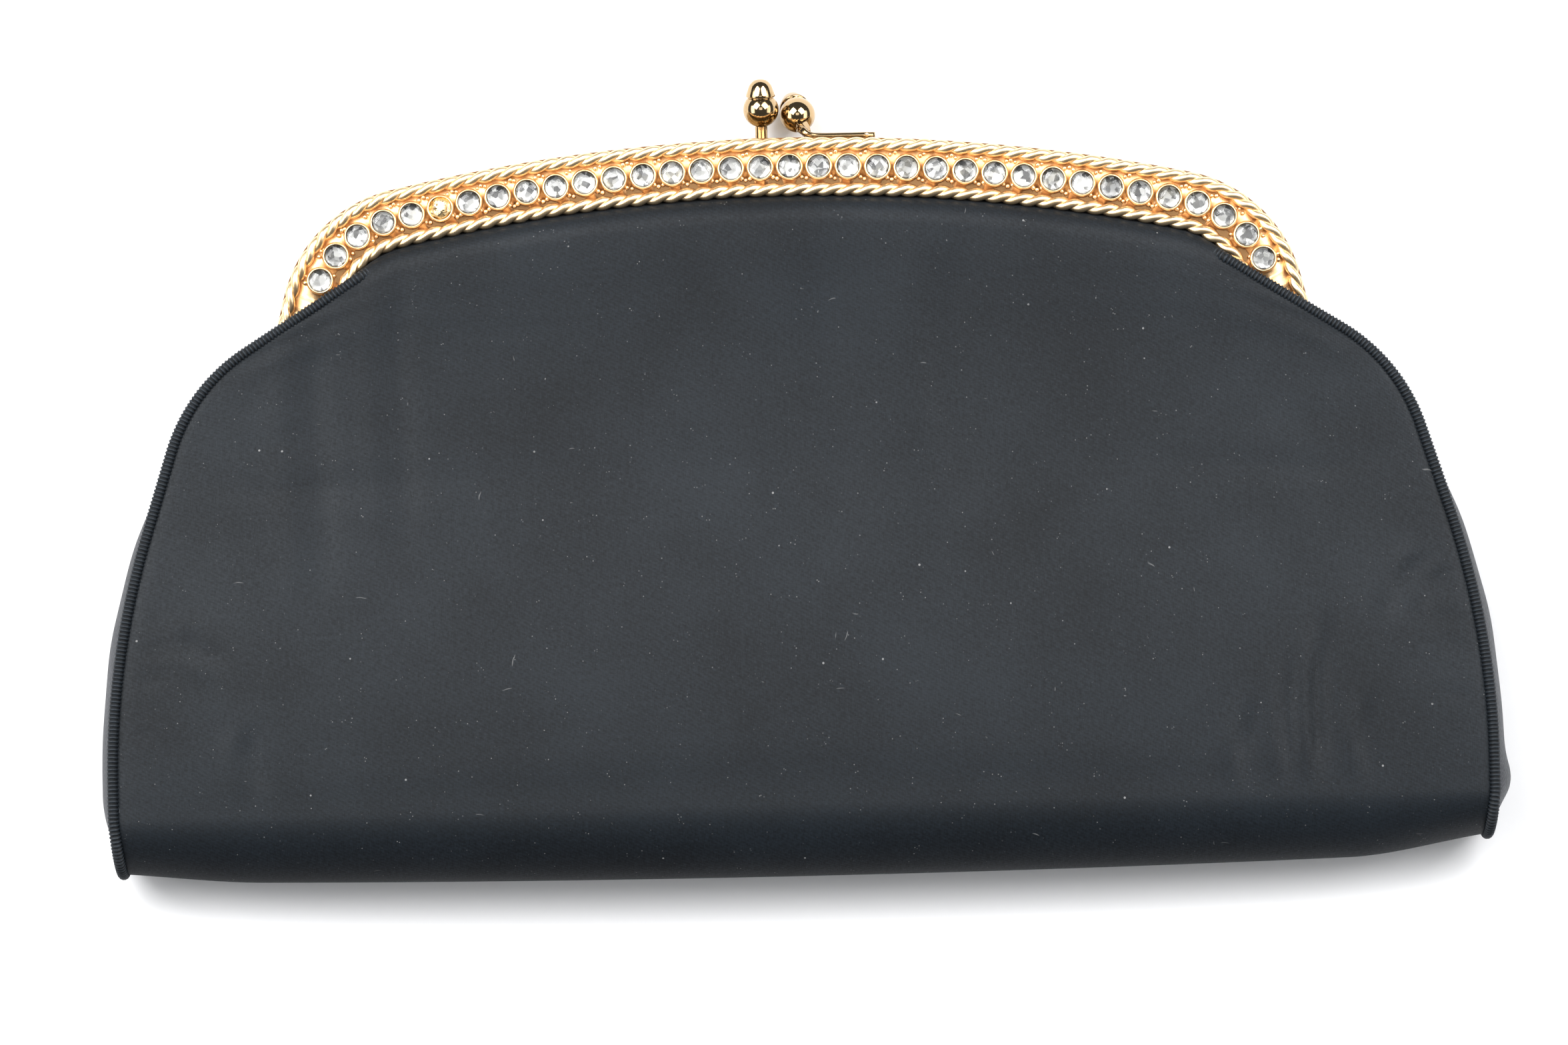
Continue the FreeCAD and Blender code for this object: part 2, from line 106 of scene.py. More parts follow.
class ClutchSizes(bpy.types.PropertyGroup):
    """Sizes of the cloth, the frame's arch, the trim and the clasp."""

    half_width: length("Half width", "From the middle to the outside of the piping", 117.0)
    side_straight: length("Straight side", "Height of the straight part of each side", 18.0)
    side_radius: length("Side radius", "Radius of each side's long curve", 140.0)
    side_turn: angle("Side turn", "How far each side leans in along its curve", 17.5)
    side_line: length("Side line", "Straight run between the side and the shoulder", 14.4)
    shoulder_radius: length("Shoulder radius", "Radius of the outer shoulder", 32.0)
    shoulder_turn: angle("Shoulder turn", "How far the shoulder turns towards the frame", 40.5)
    seam_meets_trim: length("Seam end", "Half width where the piping runs in under the trim", 72.5)
    fold_depth: length("Fold depth", "Height of the rounded bottom fold, seen from the front", 12.0)
    fold_sag: length("Fold sag", "How much the fold's middle hangs, 80 mm in from its ends", 0.75)
    fold_rise_left: length("Left fold rise", "How much the fold's left end stands above its middle", 3.0)
    fold_rise_right: length("Right fold rise", "How much the fold's right end stands above its middle", 4.6)
    crown_low: length("Crown at the fold", "Thickness of the middle just above the fold", 23.0)
    crown_high: length("Crown at the frame", "Height of the cloth's front beside the frame", 15.0)
    seam_low: length("Seam at the fold", "Height of the front piping near the fold", 19.3)
    seam_high: length("Seam at the shoulder", "Height of the front piping on the shoulder", 14.5)
    back_seam: length("Back seam", "Height of the back piping's middle above the table", 1.15)
    satin: length("Satin", "Thickness of the satin", 0.5)
    piping_radius: length("Piping radius", "Half the piping's width", 0.98)
    rib_pitch: length("Rib pitch", "Distance between the piping's ribs", 0.66)
    arch_height: length("Arch height", "Top of the frame above the bottom fold", 124.0)
    arch_radius: length("Arch radius", "Radius of the frame's top", 313.0)
    arch_span: length("Arch half span", "Half width of the frame's top curve", 67.2)
    corner_radius: length("Corner radius", "Radius of the frame's corners", 24.0)
    arm_turn: angle("Arm angle", "Slope of the frame's arms", 76.0)
    trim_width: length("Trim width", "Width of the jewelled trim", 9.9)
    trim_end: length("Trim end", "Height where the trim stops, under the shoulders", 92.0)
    rope_radius: length("Rope radius", "Half the width of a rope border", 1.15)
    rope_lay: length("Rope lay", "Length of one full twist of the rope", 5.7)
    stone_count: IntProperty(name="Settings", description="Number of bezels along the trim", default=35)
    stone_pitch: length("Stone pitch", "Distance between settings", 4.92)
    stone_radius: length("Stone radius", "Half the width of a stone", 1.85)
    ball_radius: length("Ball radius", "Half the width of a clasp ball", 3.0)
    tip_length: length("Tip length", "From a clasp ball's middle to the tip of its cap", 5.2)


class ClutchColours(bpy.types.PropertyGroup):
    """Colours of the cloths and metals."""

    satin: colour("Satin", "Satin of the panels", (0.0068, 0.0092, 0.0120))
    gusset: colour("Gusset", "Satin of the sides", (0.026, 0.029, 0.035))
    lining: colour("Lining", "Faille of the lining", (0.014, 0.014, 0.017))
    lint: colour("Lint", "Specks of lint on the satin", (0.30, 0.30, 0.30))
    brass: colour("Brass", "Aged brass of the frame", (0.50, 0.35, 0.17))
    clasp: colour("Clasp", "Polished brass of the clasp", (0.47, 0.335, 0.185))
    gold: colour("Gold", "Bright plate of the trim", (1.0, 0.76, 0.47))
    # Painted shade for the trim's hollows.
    painted_recess_shade: colour("Recess", "Painted shade in the trim's hollows", (0.74, 0.45, 0.21))
    foil: colour("Foil", "Foil behind the stones", (0.60, 0.60, 0.59))
    floor: colour("Floor", "Table top", (0.93, 0.93, 0.94))


def sizes():
    """The sizes as plain numbers: lengths in millimetres, angles in degrees and counts as they are."""
    group = bpy.context.scene.clutch_sizes
    values = {}
    for prop in group.bl_rna.properties:
        if prop.identifier in ClutchSizes.__annotations__:
            value = getattr(group, prop.identifier)
            if prop.unit == "LENGTH":
                value /= MM
            elif prop.unit == "ROTATION":
                value = math.degrees(value)
            values[prop.identifier] = value
    return SimpleNamespace(**values)


def colours():
    group = bpy.context.scene.clutch_colours
    return SimpleNamespace(**{name: tuple(getattr(group, name)) for name in ClutchColours.__annotations__})


# ---------------------------------------------------------------- lines and surfaces
def smooth(value, low, high):
    """0 below low, 1 above high and an even S between them."""
    t = np.clip((np.asarray(value, float) - low) / (high - low), 0, 1)
    return t * t * (3 - 2 * t)


def unit(vectors):
    return vectors / np.maximum(np.linalg.norm(vectors, axis=-1, keepdims=True), 1e-9)


def walk(start, heading, moves, pieces=96):
    """Points along runs and bends in a plane. A move is (length, turn), turned clockwise from +Y."""
    points = [np.array(start, float)]
    heading = math.radians(heading)
    for run, turn in moves:
        bend = math.radians(turn) / pieces
        for i in range(pieces):
            way = heading + bend * (i + 0.5)
            points.append(points[-1] + run / pieces * np.array([math.sin(way), math.cos(way)]))
        heading += bend * pieces
    return np.array(points)


def side_edge(s, inset):
    """The right-hand edge of a panel, from the height of the bottom fold to where it meets the trim."""
    start = (s.half_width - inset, 0.0)
    moves = [
        (s.side_straight, 0.0),
        ((s.side_radius - inset) * math.radians(s.side_turn), -s.side_turn),
        (s.side_line, 0.0),
        ((s.shoulder_radius - inset) * math.radians(s.shoulder_turn), -s.shoulder_turn),
    ]
    bent = walk(start, 0, moves)
    lean = s.side_turn + s.shoulder_turn
    run = (bent[-1][0] - s.seam_meets_trim) / math.sin(math.radians(lean))
    return np.vstack([bent, walk(bent[-1], -lean, [(run, 0.0)])[1:]])


def half_arch(s, inset):
    """The frame's arch at that inset, from its crown to the end of its right arm."""
    first = math.degrees(math.asin(s.arch_span / s.arch_radius))
    moves = [
        ((s.arch_radius - inset) * math.radians(first), first),
        ((s.corner_radius - inset) * math.radians(s.arm_turn - first), s.arm_turn - first),
        (18.0, 0.0),
    ]
    return walk((0.0, s.arch_height - inset), 90, moves)


def lengths_along(points):
    steps = np.linalg.norm(np.diff(points, axis=0), axis=1)
    return np.concatenate([[0], np.cumsum(steps)])


def at_lengths(points, wanted):
    """Points at those distances along a line, and the line's direction there."""
    along = lengths_along(points)
    wanted = np.asarray(wanted, float)
    place = np.stack([np.interp(wanted, along, column) for column in points.T], axis=-1)
    step = 0.05
    ahead = np.stack([np.interp(wanted + step, along, column) for column in points.T], axis=-1)
    behind = np.stack([np.interp(wanted - step, along, column) for column in points.T], axis=-1)
    return place, unit(ahead - behind)


def on_arch(s, inset, distances):
    """Points on the arch at signed distances from its crown, and the arch's direction there."""
    distances = np.asarray(distances, float)
    place, way = at_lengths(half_arch(s, inset), np.abs(distances))
    left = distances < 0
    place[left, 0] *= -1
    way[left, 1] *= -1
    return place, way


def smoothed(points, count):
    """A smooth curve through given points, as count points."""
    p = np.array(points, float)
    p = np.vstack([2 * p[0] - p[1], p, 2 * p[-1] - p[-2]])
    t = np.linspace(0, len(points) - 1 - 1e-6, count)
    i = t.astype(int)
    f = (t - i)[:, None]
    a, b, c, d = p[i], p[i + 1], p[i + 2], p[i + 3]
    return 0.5 * (2 * b + (c - a) * f + (2 * a - 5 * b + 4 * c - d) * f**2 + (3 * b - a - 3 * c + d) * f**3)


def grid_normals(grid):
    across = np.gradient(grid, axis=1)
    along = np.gradient(grid, axis=0)
    return unit(np.cross(across, along))


# ---------------------------------------------------------------- meshes
def add_mesh(name, points, faces, material, flat=False, cloth=None):
    """A mesh from points in millimetres, with y counted from the bottom fold."""
    points = np.array(points, float).reshape(-1, 3) + [0, BOTTOM_Y, 0]
    mesh = bpy.data.meshes.new(name)
    mesh.from_pydata((points * MM).tolist(), [], [list(map(int, f)) for f in faces])
    mesh.validate()
    if cloth is not None:
        layer = mesh.attributes.new("cloth", "FLOAT_VECTOR", "POINT")
        layer.data.foreach_set("vector", np.asarray(cloth, np.float32).reshape(-1, 3).ravel())
    mesh.polygons.foreach_set("use_smooth", [not flat] * len(mesh.polygons))
    mesh.materials.append(material)
    piece = bpy.data.objects.new(name, mesh)
    bpy.context.scene.collection.objects.link(piece)
    return piece


def quads(rows, columns, around=False):
    """The faces of a grid of points, closed round its columns if asked."""
    last = columns if around else columns - 1
    i, j = np.meshgrid(np.arange(rows - 1), np.arange(last), indexing="ij")
    k = (j + 1) % columns
    corners = [i * columns + j, i * columns + k, (i + 1) * columns + k, (i + 1) * columns + j]
    return np.stack(corners, -1).reshape(-1, 4)


def full_circle(count):
    return np.linspace(0, 2 * math.pi, count, endpoint=False)


def capped_rings(rings, around):
    """The faces of a stack of rings, closed at both ends."""
    faces = quads(rings, around, around=True).tolist()
    faces.append(list(range(around - 1, -1, -1)))
    faces.append([(rings - 1) * around + j for j in range(around)])
    return faces


def cloth_sheet(name, grid, thickness, material, cloth):
    """A closed sheet of cloth: the grid is its outer face, and the inner face lies thickness behind."""
    rows, columns = grid.shape[:2]
    inner = grid - grid_normals(grid) * thickness
    count = rows * columns
    faces = quads(rows, columns).tolist()
    faces += [[a + count, d + count, c + count, b + count] for a, b, c, d in faces]
    rim = list(range(columns))
    rim += [i * columns + columns - 1 for i in range(1, rows)]
    rim += [(rows - 1) * columns + j for j in range(columns - 2, -1, -1)]
    rim += [i * columns for i in range(rows - 2, 0, -1)]
    faces += [[b, a, a + count, b + count] for a, b in zip(rim, rim[1:] + rim[:1])]
    points = np.concatenate([grid.reshape(-1, 3), inner.reshape(-1, 3)])
    return add_mesh(name, points, faces, material, cloth=np.concatenate([cloth.reshape(-1, 3)] * 2))


def frames_along(path):
    """Two directions square to a path, carried along it without twisting."""
    ways = unit(np.gradient(path, axis=0))
    side = np.cross(ways[0], [0.0, 0.0, 1.0])
    if np.linalg.norm(side) < 1e-3:
        side = np.array([1.0, 0.0, 0.0])
    sides = []
    for way in ways:
        side = side - way * np.dot(side, way)
        side = side / np.linalg.norm(side)
        sides.append(side)
    sides = np.array(sides)
    return sides, np.cross(ways, sides)


def tube_parts(path, radius, around=12):
    """Points and faces of a closed tube. radius is one number or one for each point of the path."""
    sides, ups = frames_along(path)
    radius = np.broadcast_to(radius, len(path))[:, None, None]
    turns = full_circle(around)[None, :, None]
    ring = sides[:, None] * np.cos(turns) + ups[:, None] * np.sin(turns)
    return (path[:, None] + radius * ring).reshape(-1, 3), capped_rings(len(path), around)


def lathe_parts(profile, around=40):
    """Points and faces of a shape turned about +Z from (radius, height) pairs."""
    turns = full_circle(around)
    rings = [np.stack([r * np.cos(turns), r * np.sin(turns), np.full(around, z)], -1) for r, z in profile]
    return np.concatenate(rings), capped_rings(len(profile), around)


def ball_parts(radius, detail=2):
    bm = bmesh.new()
    bmesh.ops.create_icosphere(bm, subdivisions=detail, radius=radius)
    points = np.array([v.co[:] for v in bm.verts])
    faces = [[v.index for v in f.verts] for f in bm.faces]
    bm.free()
    return points, faces


def hull_parts(points):
    bm = bmesh.new()
    for p in points:
        bm.verts.new(p)
    bmesh.ops.convex_hull(bm, input=bm.verts)
    loose = [v for v in bm.verts if not v.link_faces]
    bmesh.ops.delete(bm, geom=loose, context="VERTS")
    bm.verts.index_update()
    found = np.array([v.co[:] for v in bm.verts])
    faces = [[v.index for v in f.verts] for f in bm.faces]
    bm.free()
    return found, faces


def gathered(parts):
    """Many (points, faces) joined as one."""
    points, faces, start = [], [], 0
    for p, f in parts:
        points.append(p)
        faces += [[i + start for i in face] for face in f]
        start += len(p)
    return np.concatenate(points), faces


def moved(parts, place, turn=0.0, tilt=None):
    """(points, faces) turned about +Z by turn, tilted by a rotation if given, and moved."""
    points, faces = parts
    rotation = Matrix.Rotation(turn, 3, "Z")
    if tilt is not None:
        rotation = tilt @ rotation
    return points @ np.array(rotation).T + np.array(place), faces


def bends(piece):
    """Cloth that crosses the hinge: its placement is baked into its mesh, and it rides on neither half."""
    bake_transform(piece)


def belongs(piece, body, slot, *nodes):
    """Rides the piece on a body and hides the CAD nodes that it stands for. slot is not used."""
    if body == "both":
        bends(piece)
    else:
        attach(piece, body)
    if nodes:
        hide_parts(*nodes)
    return piece


# ---------------------------------------------------------------- shader graphs
class Value:
    """A number that varies over a surface. Arithmetic on it adds Math nodes."""

    def __init__(self, graph, socket):
        self.graph, self.socket = graph, socket

    def math(self, operation, first, second):
        return self.graph.add("ShaderNodeMath", {"operation": operation}, {0: first, 1: second})

    def __add__(self, other):
        return self.math("ADD", self, other)

    def __sub__(self, other):
        return self.math("SUBTRACT", self, other)

    def __mul__(self, other):
        return self.math("MULTIPLY", self, other)

    def __rsub__(self, other):
        return self.math("SUBTRACT", other, self)

    __radd__ = __add__
    __rmul__ = __mul__


class Graph:
    """A material's node tree, built from its Principled surface backwards."""

    def __init__(self, name):
        self.material = bpy.data.materials.new(name)
        self.material.use_nodes = True
        self.tree = self.material.node_tree
        self.tree.nodes.clear()

    def add(self, kind, settings=None, values=None, output=0):
        """Adds a node, sets it up, fills or links its inputs and returns one output as a Value."""
        node = self.tree.nodes.new(kind)
        for name, setting in (settings or {}).items():
            if name == "stops":
                self.set_stops(node.color_ramp, setting)
            else:
                setattr(node, name, setting)
        for key, value in (values or {}).items():
            socket = self.find(node.inputs, key)
            if isinstance(value, Value):
                self.tree.links.new(value.socket, socket)
            else:
                socket.default_value = value
        return Value(self, self.find(node.outputs, output)) if node.outputs else None

    @staticmethod
    def find(sockets, key):
        if isinstance(key, int):
            return sockets[key]
        for socket in sockets:
            if socket.identifier == key:
                return socket
        return sockets[key]

    @staticmethod
    def set_stops(ramp, stops):
        while len(ramp.elements) < len(stops):
            ramp.elements.new(0.5)
        for element, (position, value) in zip(ramp.elements, stops):
            element.position = position
            element.color = (*value, 1.0)

    def attribute(self, name):
        return self.add("ShaderNodeAttribute", {"attribute_name": name}, output="Vector")

    def position(self):
        return self.add("ShaderNodeTexCoord", output="Object")

    def parts(self, vector):
        node = self.add("ShaderNodeSeparateXYZ", values={0: vector}).socket.node
        return [Value(self, socket) for socket in node.outputs]

    def stretched(self, vector, scale):
        return self.add("ShaderNodeVectorMath", {"operation": "MULTIPLY"}, {0: vector, 1: scale})

    def noise(self, vector, scale, detail=2.0, roughness=0.5):
        values = {"Vector": vector, "Scale": scale, "Detail": detail, "Roughness": roughness}
        return self.add("ShaderNodeTexNoise", values=values, output="Fac")

    def cells(self, vector, scale, output="Distance"):
        values = {"Vector": vector, "Scale": scale}
        return self.add("ShaderNodeTexVoronoi", values=values, output=output)

    def step(self, value, low, high, start=0.0, end=1.0):
        settings = {"interpolation_type": "SMOOTHSTEP"}
        return self.add("ShaderNodeMapRange", settings, {0: value, 1: low, 2: high, 3: start, 4: end})

    def mix(self, factor, first, second):
        first = (*first, 1.0) if isinstance(first, tuple) else first
        second = (*second, 1.0) if isinstance(second, tuple) else second
        values = {"Factor_Float": factor, "A_Color": first, "B_Color": second}
        return self.add("ShaderNodeMix", {"data_type": "RGBA"}, values, "Result_Color")

    def drift(self, vector, scale, amount):
        """The vector pushed about by a slow noise."""
        noise = self.add("ShaderNodeTexNoise", values={"Vector": vector, "Scale": scale}, output="Color")
        settings = {"operation": "MULTIPLY_ADD"}
        return self.add("ShaderNodeVectorMath", settings, {0: noise, 1: (amount,) * 3, 2: vector})

    def wave(self, value):
        return self.add("ShaderNodeMath", {"operation": "SINE"}, {0: value})

    def bump(self, height, distance, strength):
        values = {"Height": height, "Distance": distance, "Strength": strength}
        return self.add("ShaderNodeBump", values=values, output="Normal")

    def principled(self, **values):
        """A Principled surface. An underscore in a name stands for a space."""
        named = {}
        for name, value in values.items():
            named[name.replace("_", " ")] = (*value, 1.0) if isinstance(value, tuple) else value
        return self.add("ShaderNodeBsdfPrincipled", values=named)

    def close(self, shader):
        self.add("ShaderNodeOutputMaterial", values={"Surface": shader})
        return self.material

    def surface(self, **values):
        return self.close(self.principled(**values))


materials = {}


def finish(name, maker):
    """Makes a material the first time it is asked for."""
    if name not in materials:
        materials[name] = maker(name)
    return materials[name]


def satin_finish(name, base, sheen, lint=True):
    """Warp-faced satin: fine lines up the cloth, soft lustre, a little lint and painted shade on the bottom
    fold.
    """
    g = Graph(name)
    cloth = g.attribute("cloth")
    warp = g.noise(g.stretched(cloth, (7200.0, 700.0, 1.0)), 1.0, 1.0)
    weft = g.noise(g.stretched(cloth, (1300.0, 7600.0, 1.0)), 1.0, 1.0)
    slub = g.noise(g.stretched(cloth, (1500.0, 60.0, 1.0)), 1.0, 2.0)
    cloud = g.noise(cloth, 34.0, 3.0, 0.6)
    grain = g.noise(cloth, 1500.0, 3.0, 0.75)
    across, along, _ = g.parts(cloth)
    twill = g.wave(across * 5200.0 + along * 9000.0) * 0.5 + 0.5
    weave = warp * 0.45 + weft * 0.35 + twill * 0.1 + slub * 0.1
    tone = g.step(weave * 0.40 + grain * 0.35 + cloud * 0.25, 0.36, 0.66)
    shade = g.mix(tone, tuple(0.55 * c for c in base), tuple(min(1.0, 1.75 * c) for c in base))
    if lint:
        dust = g.step(g.cells(cloth, 1300.0), 0.10, 0.19, 1.0, 0.0)
        dusty = g.step(g.noise(cloth, 420.0, 3.0), 0.50, 0.68)
        specks = g.step(g.cells(cloth, 300.0), 0.04, 0.075, 1.0, 0.0)
        specked = g.step(g.noise(cloth, 150.0, 1.0), 0.56, 0.60)
        bent = g.drift(cloth, 140.0, 0.006)
        fibres = g.step(g.cells(g.stretched(bent, (80.0, 620.0, 1.0)), 1.0), 0.05, 0.075, 1.0, 0.0)
        strays = g.step(g.cells(g.stretched(bent, (640.0, 95.0, 1.0)), 1.0), 0.045, 0.07, 1.0, 0.0)
        few = g.step(g.noise(cloth, 95.0, 1.0), 0.60, 0.63)
        other = g.step(g.noise(cloth, 80.0, 1.0, 0.3), 0.62, 0.65)
        marks = dust * dusty * 0.5 + specks * specked * 0.7 + fibres * few * 0.4 + strays * other * 0.4
        shade = g.mix(g.step(marks, 0.0, 1.2), shade, colours().lint)
    normal = g.bump(weave, 0.06 * MM, 0.7)
    rough = 0.43 + (1 - tone) * 0.16
    facing = g.principled(
        Base_Color=shade,
        Roughness=rough,
        Normal=normal,
        Sheen_Weight=sheen,
        Sheen_Roughness=0.4,
        Specular_IOR_Level=0.20,
    )
    # Painted shade: a darker, less glossy copy of the satin, mixed in by height over the bottom fold.
    dull = g.principled(Base_Color=shade, Roughness=0.8, Normal=normal, Specular_IOR_Level=0.03)
    fold = g.step(g.parts(g.position())[1], cad_low.y + 1.5 * MM, cad_low.y + 13 * MM, 0.75, 0.0)
    return g.close(g.add("ShaderNodeMixShader", values={0: fold, 1: facing, 2: dull}))


def piping_finish(name):
    g = Graph(name)
    c = colours()
    cloth = g.attribute("cloth")
    thread = g.noise(g.stretched(cloth, (700.0, 3600.0, 1.0)), 1.0, 2.0)
    worn = g.noise(cloth, 90.0, 2.0)
    _, _, rib = g.parts(cloth)
    # Painted shade and highlight: the ribs' troughs are coloured darker and their crests lighter.
    ridge = g.step(rib, -0.4 * MM, 0.8 * MM)
    shade = g.mix(
        ridge * 0.7 + g.step(thread + worn * 0.4, 0.5, 0.95) * 0.3,
        tuple(0.2 * v for v in c.satin),
        tuple(2.6 * v for v in c.satin),
    )
    normal = g.bump(thread, 0.04 * MM, 0.6)
    return g.surface(
        Base_Color=shade, Roughness=0.72 - ridge * 0.24, Normal=normal, Specular_IOR_Level=0.3
    )


def faille_finish(name):
    """Black faille: flat cross ribs with a slight variation from thread to thread."""
    g = Graph(name)
    base = colours().lining
    cloth = g.attribute("cloth")
    _, along, _ = g.parts(cloth)
    ribs = g.wave(along * 9500.0) * 0.5 + 0.5
    thread = g.noise(g.stretched(cloth, (260.0, 2600.0, 1.0)), 1.0, 2.0)
    cloud = g.noise(cloth, 45.0, 2.0)
    tone = g.step(ribs * 0.4 + thread * 0.5 + cloud * 0.2, 0.3, 0.9)
    shade = g.mix(tone, base, tuple(2.4 * v for v in base))
    normal = g.bump(ribs * 0.6 + thread * 0.5, 0.06 * MM, 0.6)
    return g.surface(
        Base_Color=shade, Roughness=0.55 - ribs * 0.08, Normal=normal, Sheen_Weight=0.2, Sheen_Roughness=0.4
    )


def felt_finish(name):
    g = Graph(name)
    place = g.position()
    hairs = g.noise(g.stretched(place, (900.0, 1500.0, 900.0)), 1.0, 4.0, 0.7)
    shade = g.mix(g.step(hairs, 0.35, 0.7), (0.46, 0.44, 0.39), (0.70, 0.68, 0.62))
    return g.surface(Base_Color=shade, Roughness=0.85 + hairs * 0.1, Normal=g.bump(hairs, 0.15 * MM, 0.8))


def paper_finish(name):
    g = Graph(name)
    place = g.position()
    x, y, z = g.parts(place)
    twist = g.wave((x + y + z) * 5200.0) * 0.5 + 0.5
    grain = g.noise(place, 1600.0, 3.0)
    shade = g.mix(g.step(twist * 0.6 + grain * 0.4, 0.2, 0.9), (0.48, 0.36, 0.22), (0.76, 0.64, 0.46))
    return g.surface(Base_Color=shade, Roughness=0.75 + grain * 0.1, Normal=g.bump(twist, 0.2 * MM, 0.8))


def brass_finish(name, base, tarnish, rough_low, rough_high, painted_shade_height=None):
    """Polished brass with tarnish in soft patches, scratches and pits. Above a given height it is coloured
    dark, as painted shade.
    """
    g = Graph(name)
    place = g.position()
    patches = g.noise(place, 160.0, 4.0, 0.62)
    scratches = g.noise(g.stretched(place, (260.0, 6000.0, 2600.0)), 1.0, 2.0)
    pits = g.step(g.cells(place, 1500.0), 0.08, 0.16, 1.0, 0.0) * g.step(g.noise(place, 700.0), 0.52, 0.6)
    dull = g.step(patches + pits * 0.3, 0.42, 0.78)
    shade = g.mix(dull, base, tarnish)
    if painted_shade_height is not None:
        # Painted shade: above that height the brass is coloured dark brown.
        shade = g.mix(g.step(g.parts(place)[2], painted_shade_height - 0.1 * MM, painted_shade_height), shade, (0.26, 0.14, 0.06))
    rough = rough_low + (dull * 0.75 + scratches * 0.25) * (rough_high - rough_low)
    height = scratches * 0.25 - pits * 0.8
    return g.surface(
        Base_Color=shade, Metallic=1.0, Roughness=rough, Normal=g.bump(height, 0.02 * MM, 0.5)
    )


def gold_finish(name):
    """Bright plate on a soft casting, with painted shade: a warm darker colour in the hollows near its base.
    """
    g = Graph(name)
    c = colours()
    place = g.position()
    _, _, z = g.parts(place)
    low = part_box("trim_base")[1].z
    casting = g.noise(place, 620.0, 3.0)
    worn = g.noise(place, 210.0, 3.0, 0.6)
    # Painted shade: the lower the surface lies, the more of the warm dark colour it gets.
    depth = g.step(z + casting * 0.5 * MM, low + 0.2 * MM, low + 1.15 * MM, 1.0, 0.0)
    plate = g.mix(g.step(worn, 0.4, 0.7), c.gold, (0.93, 0.67, 0.38))
    shade = g.mix(depth * 0.75, plate, c.painted_recess_shade)
    rough = 0.29 + worn * 0.12 + depth * 0.12
    normal = g.bump(casting * 0.8 + g.noise(place, 2400.0, 2.0) * 0.2, 0.09 * MM, 0.55)
    return g.surface(Base_Color=shade, Metallic=1.0, Roughness=rough, Normal=normal)


def nugget_finish(name):
    g = Graph(name)
    place = g.position()
    pits = g.step(g.cells(place, 1500.0), 0.10, 0.30, 1.0, 0.0)
    grain = g.noise(place, 1800.0, 4.0, 0.65)
    shade = g.mix(pits * 0.8, (1.0, 0.82, 0.50), (0.22, 0.12, 0.04))
    normal = g.bump(grain - pits * 0.8, 0.22 * MM, 0.9)
    return g.surface(Base_Color=shade, Metallic=1.0, Roughness=0.16 + grain * 0.15, Normal=normal)


def crystal_finish(name):
    g = Graph(name)
    haze = g.noise(g.position(), 900.0, 3.0)
    shade = g.mix(g.step(haze, 0.4, 0.7), (1.0, 1.0, 1.0), (0.93, 0.93, 0.90))
    return g.surface(Base_Color=shade, Roughness=0.005 + haze * 0.03, Transmission_Weight=1.0, IOR=1.4)


def foil_finish(name):
    g = Graph(name)
    place = g.position()
    age = g.noise(place, 330.0, 3.0)
    # Painted reflection: the foil's small cells are coloured dark grey or bright silver, standing in for the
    # dark and bright reflections in the stones' facets.
    painted_glint = g.parts(g.cells(place, 1150.0, "Color"))[0]
    silver = g.mix(g.step(painted_glint, 0.1, 0.75), (0.15, 0.15, 0.15), colours().foil)
    shade = g.mix(g.step(age, 0.5, 0.8) * 0.6, silver, (0.50, 0.46, 0.36))
    return g.surface(Base_Color=shade, Metallic=1.0, Roughness=0.27 + painted_glint * 0.15)


def table_finish(name):
    g = Graph(name)
    grain = g.noise(g.position(), 600.0, 2.0)
    base = colours().floor
    shade = g.mix(grain, base, tuple(0.985 * v for v in base))
    return g.surface(Base_Color=shade, Roughness=0.7, Specular_IOR_Level=0.2)


# ---------------------------------------------------------------- shape of the bag
SEAM_INSET = 1.6
PIPING_ABOVE_SEAM = 0.5
TUCK_WIDTH = 4.6
CLOTH_COLUMNS = 261
PANEL_ROWS = 150
FOLD_ROWS = 44
# Rows of the back that are cut with the fold and the front.
FOLD_MARGIN = 12
SETTLED_GRID = (76, 131)
# How the cover runs on into the frame: inset and rise from the rear half, inset and drop from the front.
BACK_TUCK = ((9.5, 0.6), (9.0, 1.1), (6.0, 1.5))
FRONT_TUCK = ((9.6, 0.4), (9.1, 1.1), (6.0, 1.4))
WADDING_BEHIND_SATIN = 1.15
WADDING_THICKNESS = 0.5
LINING_BEHIND_SATIN = 2.6
LINING_THICKNESS = 0.3
GUSSET_THICKNESS = 0.6
GUSSET_TOP = 90.5

# Soft folds in the front satin: where each starts and ends, its half width and its depth, in millimetres.
CREASES = (
    ((-79.2, 98.0), (-80.5, 50.0), 3.0, 0.33),
    ((-65.2, 104.0), (-66.5, 58.0), 2.6, 0.3),
    ((6.4, 110.0), (4.5, 52.0), 6.0, 0.36),
    ((27.6, 108.0), (26.0, 62.0), 4.0, 0.3),
    ((87.5, 40.5), (85.6, 12.0), 1.6, 0.69),
    ((81.5, 34.0), (80.6, 12.0), 1.4, 0.45),
    ((74.6, 27.0), (73.2, 9.5), 1.5, 0.48),
    ((94.7, 28.0), (93.6, 12.5), 1.4, 0.39),
    ((104.5, 51.5), (98.0, 42.0), 1.6, 0.3),
    ((108.4, 49.5), (104.0, 42.5), 1.2, 0.21),
    ((-103.0, 44.0), (-97.0, 37.0), 1.8, 0.18),
    ((-92.0, 27.0), (-91.0, 15.0), 1.8, 0.27),
)


